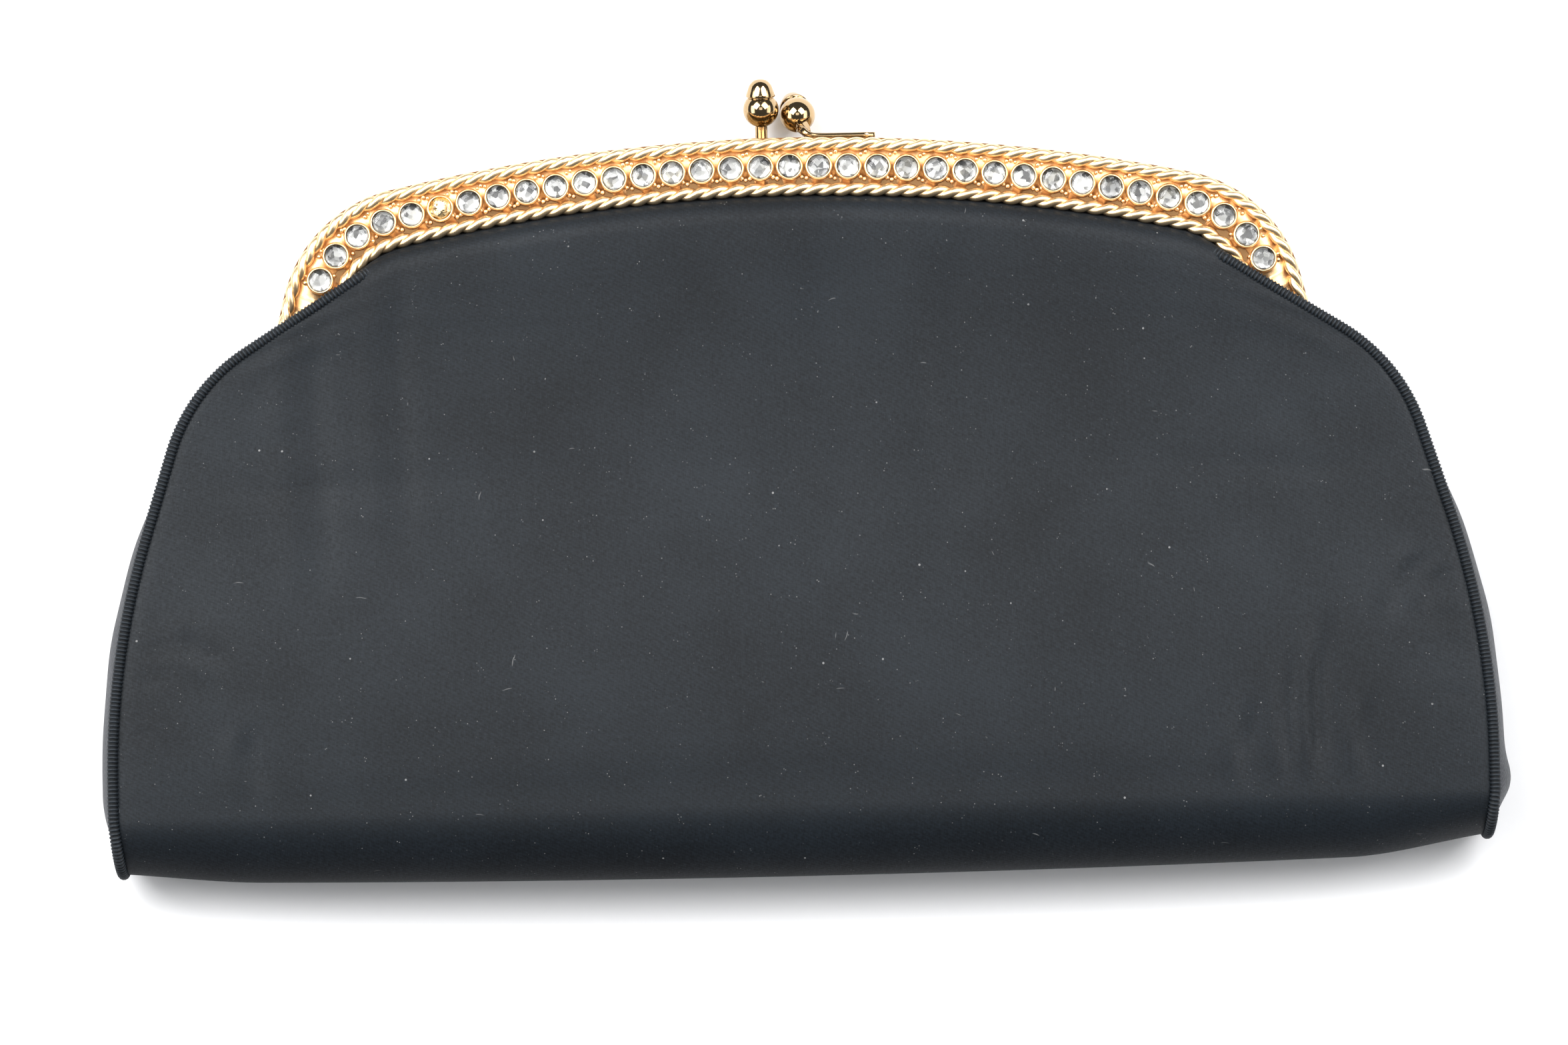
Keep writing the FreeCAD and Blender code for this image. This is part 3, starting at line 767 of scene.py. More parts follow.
def crease_depth(x, y):
    """How far the creases sink the front satin at each point."""
    depth = np.zeros_like(x)
    for (x0, y0), (x1, y1), width, deep in CREASES:
        run = np.array([x1 - x0, y1 - y0])
        size = np.linalg.norm(run)
        along = ((x - x0) * run[0] + (y - y0) * run[1]) / size
        off = ((x - x0) * run[1] - (y - y0) * run[0]) / size
        sway = 0.35 * width * np.sin(along / size * 5.0)
        fade = smooth(along, -0.15 * size, 0.35 * size) * (1 - smooth(along, 0.65 * size, 1.15 * size))
        off = off - sway
        ridge = np.exp(-((off / width) ** 2)) - 0.55 * np.exp(-(((off - 1.7 * width) / width) ** 2))
        depth += deep * fade * ridge
    return depth


def panel_plan(s, rows, columns):
    """A panel laid out flat above the fold: x and y of its grid, and how far across each point is."""
    edge = side_edge(s, SEAM_INSET)
    start = np.interp(s.fold_depth, edge[:, 1], lengths_along(edge))
    v = np.linspace(0, 1, rows)[:, None]
    place, _ = at_lengths(edge, start + v[:, 0] * (lengths_along(edge)[-1] - start))
    across = np.linspace(-1, 1, columns)[None, :]
    across = 0.82 * across + 0.18 * np.sign(across) * (1 - (1 - np.abs(across)) ** 2)
    x = across * place[:, :1]
    arch = half_arch(s, s.trim_width)
    top = np.interp(np.abs(across) * s.seam_meets_trim, arch[:, 0], arch[:, 1])
    y = place[:, 1:] + (top - place[-1, 1]) * v**1.5
    return x, y, np.broadcast_to(across, x.shape)


def fold_shape(s, x, across):
    """How high the bottom fold starts at each x, and the height of the back seam there."""
    sag = s.fold_sag * (x / 80) ** 2
    rise = np.where(x < 0, s.fold_rise_left, s.fold_rise_right) - s.fold_sag * (s.half_width / 80) ** 2
    corner = smooth(np.abs(x), s.half_width - 26, s.half_width + 2)
    return sag + rise * corner, s.back_seam * np.abs(across) ** 10


def front_height(s, x, y, across):
    """Height of the front satin above the table."""
    crown = s.crown_high + (s.crown_low - s.crown_high) * (1 - smooth(y, 6, 94))
    seam = s.seam_high + (s.seam_low - s.seam_high) * (1 - smooth(y, 8, 90))
    height = seam + (crown - seam) * (1 - np.abs(across) ** 2.8)
    from_seam = (1 - np.abs(across)) * np.maximum(np.abs(x) / np.maximum(np.abs(across), 1e-3), 60)
    height -= 0.8 * np.exp(-from_seam / 1.8)
    return height


def trim_gap(s, x, y):
    """Distance below the lower rope, and how much of the tuck applies: none out on the shoulders."""
    arch = half_arch(s, s.trim_width)
    gap = np.interp(np.abs(x), arch[:, 0], arch[:, 1]) - y
    applies = 1 - smooth(np.abs(x), s.seam_meets_trim - 5, s.seam_meets_trim + 2)
    return gap, applies


def rounded_tuck(gap, applies, height, low):
    """Height of cloth that rounds down to the frame over its last few millimetres."""
    t = np.clip(gap / TUCK_WIDTH, 0, 1)
    curve = low + (height - low) * np.sqrt(np.maximum(1 - (1 - t) ** 2.4, 0))
    return height + (curve - height) * applies


def front_grid(s):
    """The front satin: from the bottom fold's front edge to its tuck under the trim."""
    x, y, across = panel_plan(s, PANEL_ROWS, CLOTH_COLUMNS)
    z = front_height(s, x, y, across)
    gap, applies = trim_gap(s, x, y)
    z = rounded_tuck(gap, applies, z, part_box("front_frame")[1].z / MM + 0.5)
    return np.stack([x, y, z], -1), across


def tuck_rows(s, grid, stages):
    """Rows that carry a panel's top edge on into the frame's channel, at (inset, height) stages."""
    reach = half_arch(s, s.trim_width)
    spot = np.interp(np.abs(grid[-1, :, 0]), reach[:, 0], np.arange(len(reach)))
    rows = []
    for inset, height in stages:
        arch = half_arch(s, inset)
        index = np.arange(len(arch))
        x = np.interp(spot, index, arch[:, 0]) * np.sign(grid[-1, :, 0])
        y = np.interp(spot, index, arch[:, 1])
        rows.append(np.stack([x, y, np.full_like(x, height)], -1))
    return np.array(rows)


def fold_grid(s, front_row, across_row):
    """The bottom fold, from the back up to the front panel's first row."""
    turn = np.radians(np.linspace(-90, 90, FOLD_ROWS))[:, None]
    x = front_row[None, :, 0]
    low, seam = fold_shape(s, x, across_row[None])
    y = low + (s.fold_depth - low) * (1 - np.cos(turn))
    z = seam + (front_row[None, :, 2] - seam) * (1 + np.sin(turn)) / 2
    pull = 0.9 * np.abs(across_row[None]) ** 24 * np.cos(turn)
    return np.stack([x * np.ones_like(turn) - np.sign(x) * pull, y, z], -1)


def back_grid(s):
    """The back satin, flat on the table and turned up into the rear channel."""
    x, y, across = panel_plan(s, PANEL_ROWS, CLOTH_COLUMNS)
    z = s.back_seam * np.abs(across) ** 10
    gap, applies = trim_gap(s, x, y)
    t = np.clip(gap / 4.0, 0, 1)
    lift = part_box("rear_frame")[0].z / MM
    z = z + (lift - z) * (1 - np.sqrt(np.maximum(1 - (1 - t) ** 2.4, 0))) * applies
    return np.stack([x, y, z], -1)


def whole_cover(s):
    """The whole satin cover, back then fold then front, and the row where the front piece starts."""
    front, across = front_grid(s)
    fold = fold_grid(s, front[0], across[0])
    back = back_grid(s)
    rear_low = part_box("rear_frame")[0].z / MM
    back_tuck = tuck_rows(s, back, [(inset, rear_low + rise) for inset, rise in BACK_TUCK])
    front_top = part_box("front_frame")[1].z / MM
    front_tuck = tuck_rows(s, front, [(inset, front_top - drop) for inset, drop in FRONT_TUCK])
    down = np.concatenate([back_tuck[::-1], back[::-1]])
    grid = np.concatenate([down, fold[1:-1], front, front_tuck])
    return grid, len(down), len(down) + FOLD_ROWS - 2


def cloth_places(grid):
    """Each point's place on the flat cloth, in metres: across and along."""
    steps = np.linalg.norm(np.diff(grid, axis=0), axis=2)
    middle = steps[:, steps.shape[1] // 2]
    along = np.concatenate([[0], np.cumsum(middle)])[:, None]
    flat = np.zeros_like(grid)
    flat[..., 0] = grid[..., 0]
    flat[..., 1] = along
    return flat * MM


def settled(grid, rows, columns):
    """Heights that a cloth simulation gives a panel that is held round its edge and filled from behind."""
    step_i = np.linspace(0, grid.shape[0] - 1, rows).round().astype(int)
    step_j = np.linspace(0, grid.shape[1] - 1, columns).round().astype(int)
    coarse = grid[np.ix_(step_i, step_j)]
    piece = add_mesh("settling", coarse, quads(rows, columns), finish("felt", felt_finish))
    held = piece.vertex_groups.new(name="held")
    i, j = np.divmod(np.arange(rows * columns), columns)
    border = np.minimum(np.minimum(i, rows - 1 - i), np.minimum(j, columns - 1 - j))
    for ring, weight in ((0, 1.0), (1, 0.6), (2, 0.2)):
        held.add(np.flatnonzero(border == ring).tolist(), weight, "REPLACE")
    cloth = piece.modifiers.new("cloth", "CLOTH")
    cloth.settings.quality = 6
    cloth.settings.mass = 0.25
    cloth.settings.tension_stiffness = 25
    cloth.settings.compression_stiffness = 20
    cloth.settings.bending_stiffness = 0.6
    cloth.settings.vertex_group_mass = "held"
    cloth.settings.shrink_min = 0.0
    cloth.settings.use_pressure = True
    cloth.settings.uniform_pressure_force = 0.5
    cloth.settings.effector_weights.gravity = 0.0
    cloth.collision_settings.use_collision = False
    scene = bpy.context.scene
    for now in range(1, 19):
        scene.frame_set(now)
    result = piece.evaluated_get(bpy.context.evaluated_depsgraph_get())
    after = np.array([v.co[:] for v in result.data.vertices]) / MM - [0, BOTTOM_Y, 0]
    rise = np.sum((after.reshape(coarse.shape) - coarse) * grid_normals(coarse), -1)
    scene.frame_set(1)
    bpy.data.objects.remove(piece)
    rise = np.clip(rise, -0.2, 0.8)
    fine_i = np.interp(np.arange(grid.shape[0]), step_i, np.arange(rows))
    fine_j = np.interp(np.arange(grid.shape[1]), step_j, np.arange(columns))
    return bilinear(rise, fine_i, fine_j)


def bilinear(table, rows, columns):
    """A table read at fractional rows and columns, eased between its entries."""
    i = np.minimum(rows.astype(int), table.shape[0] - 2)
    j = np.minimum(columns.astype(int), table.shape[1] - 2)
    f = smooth(rows - i, 0, 1)[:, None] * 0.5 + 0.5 * (rows - i)[:, None]
    h = smooth(columns - j, 0, 1)[None] * 0.5 + 0.5 * (columns - j)[None]
    upper = table[np.ix_(i, j)] * (1 - h) + table[np.ix_(i, j + 1)] * h
    lower = table[np.ix_(i + 1, j)] * (1 - h) + table[np.ix_(i + 1, j + 1)] * h
    return upper * (1 - f) + lower * f


def seam_line(s, side, samples=900):
    """One piping's line, as on the right: down the back, round the fold and up the front."""
    edge = side_edge(s, SEAM_INSET)
    upper = edge[edge[:, 1] > s.fold_depth]
    one = np.ones(len(upper))
    front_z = front_height(s, upper[:, 0], upper[:, 1], one) + PIPING_ABOVE_SEAM
    front = np.column_stack([upper, front_z])
    back = np.column_stack([upper, s.back_seam * one])[::-1]
    low, seam = fold_shape(s, np.array([side * upper[0, 0]]), np.array([1.0]))
    turn = np.radians(np.linspace(-90, 90, 40))
    y = low + (s.fold_depth - low) * (1 - np.cos(turn))
    z = seam + (front_z[0] - seam) * (1 + np.sin(turn)) / 2
    fold = np.column_stack([upper[0, 0] - 0.9 * np.cos(turn), y, z])
    dive = np.array([[-1.8, 1.0, -1.0], [-3.6, 1.5, -2.9]])
    line = np.concatenate([back, fold[1:-1], front, front[-1] + dive])
    wanted = np.linspace(0, lengths_along(line)[-1], samples)
    return at_lengths(line, wanted)[0]


# ---------------------------------------------------------------- operators
class PieceOperator:
    """What every operator here shares."""

    bl_options = {"REGISTER", "UNDO"}


class CLUTCH_OT_cover(PieceOperator, bpy.types.Operator):
    """Makes the satin cover: its back, and its front with the bottom fold"""

    bl_idname = "clutch.cover"
    bl_label = "Satin Cover"

    def execute(self, context):
        s, c = sizes(), colours()
        grid, fold_start, front_start = whole_cover(s)
        front_end = front_start + PANEL_ROWS
        panel = grid[front_start:front_end]
        normals = grid_normals(grid)
        sink = -crease_depth(panel[..., 0], panel[..., 1])
        sink += settled(panel, *SETTLED_GRID)
        row = np.arange(PANEL_ROWS)
        edge_rows = smooth(row, 0, 14) * (1 - smooth(row, PANEL_ROWS - 9, PANEL_ROWS))
        grid[front_start:front_end] += normals[front_start:front_end] * (sink * edge_rows[:, None])[..., None]
        satin = finish("satin", lambda n: satin_finish(n, c.satin, 0.06))
        split = fold_start - FOLD_MARGIN
        back, front = two_sheets("satin", grid, split, s.satin, satin)
        belongs(back, BACK, "satin")
        belongs(front, "both", "satin", "satin_shell", "satin_hinge_fold", "satin_front_top")
        return {"FINISHED"}


def two_sheets(name, grid, split, thickness, material):
    """A cover cut in two at a row of its grid: the back's part, and the fold's with the front's."""
    places = cloth_places(grid)
    back = cloth_sheet(name + "_back", grid[: split + 1], thickness, material, places[: split + 1])
    front = cloth_sheet(name + "_front", grid[split:], thickness, material, places[split:])
    return back, front


class CLUTCH_OT_wadding(PieceOperator, bpy.types.Operator):
    """Makes the wadding that fills out the cover behind the satin"""

    bl_idname = "clutch.wadding"
    bl_label = "Wadding"

    def execute(self, context):
        s = sizes()
        grid, fold_start, _ = whole_cover(s)
        inner = grid - grid_normals(grid) * (s.satin + WADDING_BEHIND_SATIN)
        inner = inner[10:-14, 8:-8]
        split = fold_start - FOLD_MARGIN - 10
        felt = finish("felt", felt_finish)
        back, front = two_sheets("wadding", inner, split, WADDING_THICKNESS, felt)
        belongs(back, BACK, "interlining", "interlining_shell")
        belongs(front, "both", "interlining", "interlining_front_top")
        return {"FINISHED"}


class CLUTCH_OT_lining(PieceOperator, bpy.types.Operator):
    """Makes the faille lining and its slip pocket"""

    bl_idname = "clutch.lining"
    bl_label = "Lining"

    def execute(self, context):
        s = sizes()
        faille = finish("faille", faille_finish)
        grid, fold_start, _ = whole_cover(s)
        inner = grid - grid_normals(grid) * LINING_BEHIND_SATIN
        inner = inner[6:-6, 5:-5]
        inner[..., 0] *= 0.985
        rear_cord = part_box("rear_channel_cord")[1].z / MM
        front_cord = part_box("front_channel_cord")[0].z / MM
        rear_rows = tuck_rows(s, inner[::-1], ((8.2, rear_cord), (4.5, rear_cord + 0.15)))
        front_rows = tuck_rows(s, inner, ((8.2, front_cord), (4.5, front_cord - 0.15)))
        whole = np.concatenate([rear_rows[::-1], inner, front_rows])
        split = fold_start - FOLD_MARGIN - 6 + len(rear_rows)
        back, front = two_sheets("lining", whole, split, -LINING_THICKNESS, faille)
        belongs(back, BACK, "lining")
        belongs(front, "both", "lining", "lining_bag", "lining_hinge_fold", "lining_front_top")
        self.pocket(faille)
        return {"FINISHED"}

    @staticmethod
    def pocket(faille):
        """A patch sewn to the back lining, with a turned top hem that stands a little open."""
        low, high = (np.array(corner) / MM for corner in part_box("inner_pocket"))
        low[1] -= BOTTOM_Y
        high[1] -= BOTTOM_Y
        u = np.linspace(-1, 1, 81)[None]
        v = np.linspace(0, 1, 41)[:, None]
        x = u * (high[0] - 1.5 * smooth(1 - v, 0.9, 1.0) * np.abs(u) ** 8)
        y = low[1] + (high[1] - low[1]) * v - 0.8 * (1 - u**2) * smooth(v, 0.7, 1.0)
        hem = 0.35 * (smooth(v, 0.86, 0.88) - smooth(v, 0.99, 1.0))
        z = high[2] + 0.1 + 1.1 * smooth(v, 0.4, 1.0) * (1 - u**2) + hem + 0 * u
        grid = np.stack([x, y + 0 * u, z], -1)
        piece = cloth_sheet("slip_pocket", grid, LINING_THICKNESS, faille, cloth_places(grid))
        belongs(piece, BACK, "lining", "inner_pocket")


class CLUTCH_OT_gussets(PieceOperator, bpy.types.Operator):
    """Makes the two side gussets"""

    bl_idname = "clutch.gussets"
    bl_label = "Gussets"

    def execute(self, context):
        s, c = sizes(), colours()
        satin = finish("gusset satin", lambda n: satin_finish(n, c.gusset, 0.05, lint=False))
        for side, name in ((1, "right"), (-1, "left")):
            placed = self.grid(s, side) * [side, 1, 1]
            if side < 0:
                placed = placed[:, ::-1]
            turned = placed[..., [2, 1, 0]] * [1, 1, 0] * MM
            piece = cloth_sheet("side_gusset_" + name, placed, GUSSET_THICKNESS, satin, turned)
            belongs(piece, "both", "gusset_satin", "gusset_" + name)
        return {"FINISHED"}

    @staticmethod
    def grid(s, side):
        line = seam_line(s, side)
        tip = np.argmin(line[:, 1])
        low, high = line[: tip + 1][::-1], line[tip:]
        y = line[tip, 1] + 0.15 + (GUSSET_TOP - line[tip, 1]) * np.linspace(0, 1, 130) ** 1.25
        y = y[:, None]
        t = np.linspace(0, 1, 34)[None]

        def at(part, column):
            order = np.maximum.accumulate(part[:, 1])
            return np.interp(y[:, 0], order, part[:, column])[:, None]

        x = at(high, 0) * np.ones_like(t)
        z = at(low, 2) + (at(high, 2) - at(low, 2)) * t
        out = 1.7 * smooth(y, 5, 16) * (1 - smooth(y, 48, 74)) - 2.2 * smooth(y, 72, 90)
        out += 1.2 * (side > 0) * np.exp(-(((y - 13) / 4) ** 2))
        x = x + out * np.sin(math.pi * t) ** 0.8
        x += 0.18 * np.sin(y / 3.1 + 2.0 * t) * np.sin(math.pi * t) * smooth(y, 20, 50)
        return np.stack([x, y * np.ones_like(t), z], -1)


RIB_STEPS = 5
PIPING_SIDES = 14


class CLUTCH_OT_piping(PieceOperator, bpy.types.Operator):
    """Makes the ribbed piping along both side seams"""

    bl_idname = "clutch.piping"
    bl_label = "Piping"

    def execute(self, context):
        s = sizes()
        ribbed = finish("piping", piping_finish)
        steps = int(lengths_along(seam_line(s, 1))[-1] / s.rib_pitch) * RIB_STEPS
        phase = np.arange(steps) * 2 * math.pi / RIB_STEPS
        radius = s.piping_radius * (0.87 + 0.13 * np.cos(phase))
        taken = {
            "right": ("piping_right", "piping_right_top", "piping_hinge_fold"),
            "left": ("piping_left", "piping_left_top"),
        }
        for side, name in ((1, "right"), (-1, "left")):
            line = seam_line(s, side, steps)
            tip = int(np.argmin(line[:, 1]))
            cuts = (("back", BACK, slice(0, tip + 1)), ("front", "both", slice(tip, steps)))
            for part, body, rows in cuts:
                path = line[rows] * [side, 1, 1]
                points, faces = tube_parts(path, radius[rows], PIPING_SIDES)
                along = np.repeat(lengths_along(path), PIPING_SIDES) * MM
                turn = np.tile(full_circle(PIPING_SIDES) * s.piping_radius, len(path)) * MM
                rib = np.repeat(np.cos(phase[rows]), PIPING_SIDES) * MM
                cloth = np.column_stack([turn, along, rib])
                piece = add_mesh("piped_edge_" + part + "_" + name, points, faces, ribbed, cloth=cloth)
                belongs(piece, body, "piping", *(taken[name] if part == "front" else ()))
        return {"FINISHED"}


class CLUTCH_OT_frame(PieceOperator, bpy.types.Operator):
    """Finishes the frame halves, their hinge rivets and the cords in their channels"""

    bl_idname = "clutch.frame"
    bl_label = "Frame"

    def execute(self, context):
        c = colours()

        def aged(name, painted_shade_height=None):
            return finish(name, lambda n: brass_finish(n, c.brass, (0.26, 0.17, 0.07), 0.16, 0.38, painted_shade_height))

        brass = aged("aged brass")
        paper = finish("paper cord", paper_finish)
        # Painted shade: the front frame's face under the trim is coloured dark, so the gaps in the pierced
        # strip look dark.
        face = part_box("front_frame")[1].z - 0.1 * MM
        covered = aged("covered brass", face)
        for names, material in (
            (("rear_frame", "hinge_rivet_left", "hinge_rivet_right"), brass),
            (("front_frame",), covered),
            (("rear_channel_cord", "front_channel_cord"), paper),
        ):
            for name in names:
                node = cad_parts[name]
                for slot in node.material_slots:
                    slot.material = material
        return {"FINISHED"}


def trim_reach(s, inset):
    """How far along the arch, at that inset, the trim runs each side of the crown."""
    half = half_arch(s, inset)
    return np.interp(-s.trim_end, -half[:, 1], lengths_along(half))


STRAND_OFFSET = 0.44
STRAND_RADIUS = 0.71


class CLUTCH_OT_ropes(PieceOperator, bpy.types.Operator):
    """Makes the two twisted rope borders of the trim"""

    bl_idname = "clutch.ropes"
    bl_label = "Rope Borders"

    def execute(self, context):
        s = sizes()
        gold = finish("trim gold", gold_finish)
        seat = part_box("rope_upper")[0].z / MM
        lower_inset = s.trim_width - s.rope_radius
        for name, node, inset, drop in (
            ("rope_border_upper", "rope_upper", s.rope_radius, 0.12),
            ("rope_border_lower", "rope_lower", lower_inset, 0.0),
        ):
            reach = trim_reach(s, inset)
            along = np.arange(-reach, reach, 0.32)
            place, way = on_arch(s, inset, along)
            out = np.column_stack([-way[:, 1], way[:, 0]])
            strands = []
            for strand in (0.0, math.pi):
                turn = -2 * math.pi * along / s.rope_lay + strand
                wander = 0.05 * np.sin(along * 0.9 + strand)
                lift = (STRAND_OFFSET + wander) * np.sin(turn)
                side = (STRAND_OFFSET + wander) * np.cos(turn)
                path = np.column_stack([place + out * side[:, None], seat + s.rope_radius - drop + lift])
                swell = STRAND_RADIUS + 0.03 * np.sin(along * 1.7 + strand)
                strands.append(tube_parts(path, swell, 12))
            points, faces = gathered(strands)
            piece = add_mesh(name, points, faces, gold)
            belongs(piece, FRONT, "trim_gold", node)
        return {"FINISHED"}


def setting_places(s):
    """Where the settings stand: their step from the middle, place and heading along the trim."""
    half = s.stone_count // 2
    steps = np.arange(-half, half + 1)
    place, way = on_arch(s, s.trim_width / 2, steps * s.stone_pitch)
    return steps, place, np.arctan2(way[:, 1], way[:, 0])


STUD_STEP = -12


class CLUTCH_OT_settings(PieceOperator, bpy.types.Operator):
    """Makes the trim's base, its bezels and the beads between them"""

    bl_idname = "clutch.settings"
    bl_label = "Settings"

    def execute(self, context):
        s = sizes()
        gold = finish("trim gold", gold_finish)
        rng = np.random.default_rng(7)
        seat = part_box("bezels")[0].z / MM
        _, places, headings = setting_places(s)
        outer = s.stone_radius + 0.52
        profile = [
            (outer - 0.02, -0.5),
            (outer + 0.02, 0.0),
            (outer, 0.55),
            (outer - 0.08, 0.95),
            (outer - 0.22, 1.22),
            (outer - 0.42, 1.34),
            (s.stone_radius + 0.10, 1.28),
            (s.stone_radius + 0.02, 1.05),
            (s.stone_radius + 0.02, 0.05),
            (0.4, 0.02),
        ]
        cups = []
        for place, heading in zip(places, headings):
            cups.append(moved(lathe_parts(profile, 28), (*place, seat), heading))
        piece = add_mesh("bezel_cups", *gathered(cups), gold)
        belongs(piece, FRONT, "trim_gold", "bezels")
        belongs(self.base(s, gold), FRONT, "trim_gold", "trim_base")
        belongs(self.beads(s, gold, seat, rng), FRONT, "trim_gold", "seed_beads")
        return {"FINISHED"}

    @staticmethod
    def base(s, gold):
        """The pierced strip under the bezels: it narrows between them, so gaps show beside the ropes."""
        reach = trim_reach(s, s.trim_width / 2)
        along = np.arange(-reach, reach, 0.3)
        wave = 0.5 + 0.5 * np.cos(2 * math.pi * along / s.stone_pitch)
        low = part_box("trim_base")[0].z / MM

        def edge(inset):
            share = half_arch_length(s, inset) / half_arch_length(s, s.trim_width / 2)
            return on_arch(s, inset, along * share)[0]

        corners = []
        for inset, lift in ((1.3, 0.0), (1.35, 0.8), (8.25, 0.65), (8.3, 0.0)):
            place = edge(inset)
            if inset > s.trim_width / 2:
                narrowed = edge(inset - 1.7)
                place = narrowed + (place - narrowed) * smooth(wave, 0.35, 0.75)[:, None]
            corners.append(np.column_stack([place, np.full(len(along), low + lift)]))
        faces = capped_rings(len(along), len(corners))
        return add_mesh("pierced_strip", np.stack(corners, 1), faces, gold)

    @staticmethod
    def beads(s, gold, seat, rng):
        """Two or three tiny beads in each space between neighbouring bezels, on both sides."""
        half = s.stone_count // 2
        parts = []
        for step in np.arange(-half - 0.5, half + 1):
            for side in (-1, 1):
                count = 3 if rng.random() < 0.7 else 2
                for k in range(count):
                    along = step * s.stone_pitch + (k - (count - 1) / 2) * 0.72
                    along += rng.uniform(-0.08, 0.08)
                    off = (2.15 if side > 0 else 1.7) + 0.3 * (k == 1) + rng.uniform(-0.1, 0.1)
                    inset = s.trim_width / 2 - side * off
                    place, _ = on_arch(s, inset, [along * (1 - (inset - s.trim_width / 2) / 300)])
                    size = rng.uniform(0.32, 0.43)
                    height = seat + 0.15 + rng.uniform(0, 0.25)
                    parts.append(moved(ball_parts(size), (*place[0], height)))
        return add_mesh("bead_clusters", *gathered(parts), gold)


def half_arch_length(s, inset):
    return lengths_along(half_arch(s, inset))[-1]


class CLUTCH_OT_stones(PieceOperator, bpy.types.Operator):
    """Makes the faceted stones, the foil behind them and the rough gold stud"""

    bl_idname = "clutch.stones"
    bl_label = "Stones"

    def execute(self, context):
        s = sizes()
        rng = np.random.default_rng(21)
        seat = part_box("bezels")[0].z / MM
        steps, places, _ = setting_places(s)
        stones, foils = [], []
        for step, place in zip(steps, places):
            if step == STUD_STEP:
                continue
            turn = rng.uniform(0, math.pi)
            lean = Matrix.Rotation(rng.uniform(-0.05, 0.05), 3, "X")
            lean = lean @ Matrix.Rotation(rng.uniform(-0.05, 0.05), 3, "Y")
            stones.append(moved(self.stone(s.stone_radius), (*place, seat + 1.02), turn, lean))
            foils.append(moved(self.foil(s.stone_radius), (*place, seat + 1.0), turn, lean))
        crystal = finish("crystal", crystal_finish)
        foil = finish("foil", foil_finish)
        piece = add_mesh("faceted_stones", *gathered(stones), crystal, flat=True)
        belongs(piece, FRONT, "rhinestone", "rhinestones")
        backing = add_mesh("stone_foils", *gathered(foils), foil, flat=True)
        belongs(backing, FRONT, "rhinestone")
        place = places[list(steps).index(STUD_STEP)]
        belongs(self.stud(place, seat), FRONT, "trim_gold", "gold_stud")
        return {"FINISHED"}

    @staticmethod
    def ring(radius, height, count, turn=0.0):
        a = full_circle(count) + turn
        return np.column_stack([radius * np.cos(a), radius * np.sin(a), np.full(count, height)])

    def stone(self, radius):
        eighth = math.pi / 8
        points = np.concatenate(
            [
                self.ring(0.50 * radius, 0.52, 8),
                self.ring(0.78 * radius, 0.36, 8, eighth),
                self.ring(1.0 * radius, 0.04, 16),
                self.ring(1.0 * radius, -0.02, 16),
                self.ring(0.50 * radius, -0.44, 8, eighth),
                self.ring(0.04 * radius, -0.84, 4),
            ]
        )
        return hull_parts(points)

    def foil(self, radius):
        points = np.concatenate(
            [
                self.ring(1.0 * radius, -0.03, 16),
                self.ring(0.53 * radius, -0.49, 8, math.pi / 8),
                self.ring(0.05 * radius, -0.90, 4),
            ]
        )
        return hull_parts(points)

    @staticmethod
    def stud(place, seat):
        points, faces = ball_parts(1.95, 5)
        rng = np.random.default_rng(3)
        dents = unit(rng.normal(size=(26, 3)))
        way = unit(points)
        for dent in dents:
            near = np.clip((way @ dent - 0.90) / 0.10, 0, 1)
            points = points * (1 - 0.10 * near[:, None] ** 1.5)
        bumps = unit(rng.normal(size=(60, 3)))
        for bump in bumps:
            near = np.clip((way @ bump - 0.965) / 0.035, 0, 1)
            points = points * (1 + 0.035 * near[:, None])
        points = points * [1, 1, 0.9]
        nugget = finish("nugget", nugget_finish)
        return add_mesh("rough_stud", *moved((points, faces), (*place, seat + 0.55)), nugget)


ARM_RINGS = 70
ARM_SIDES = 20


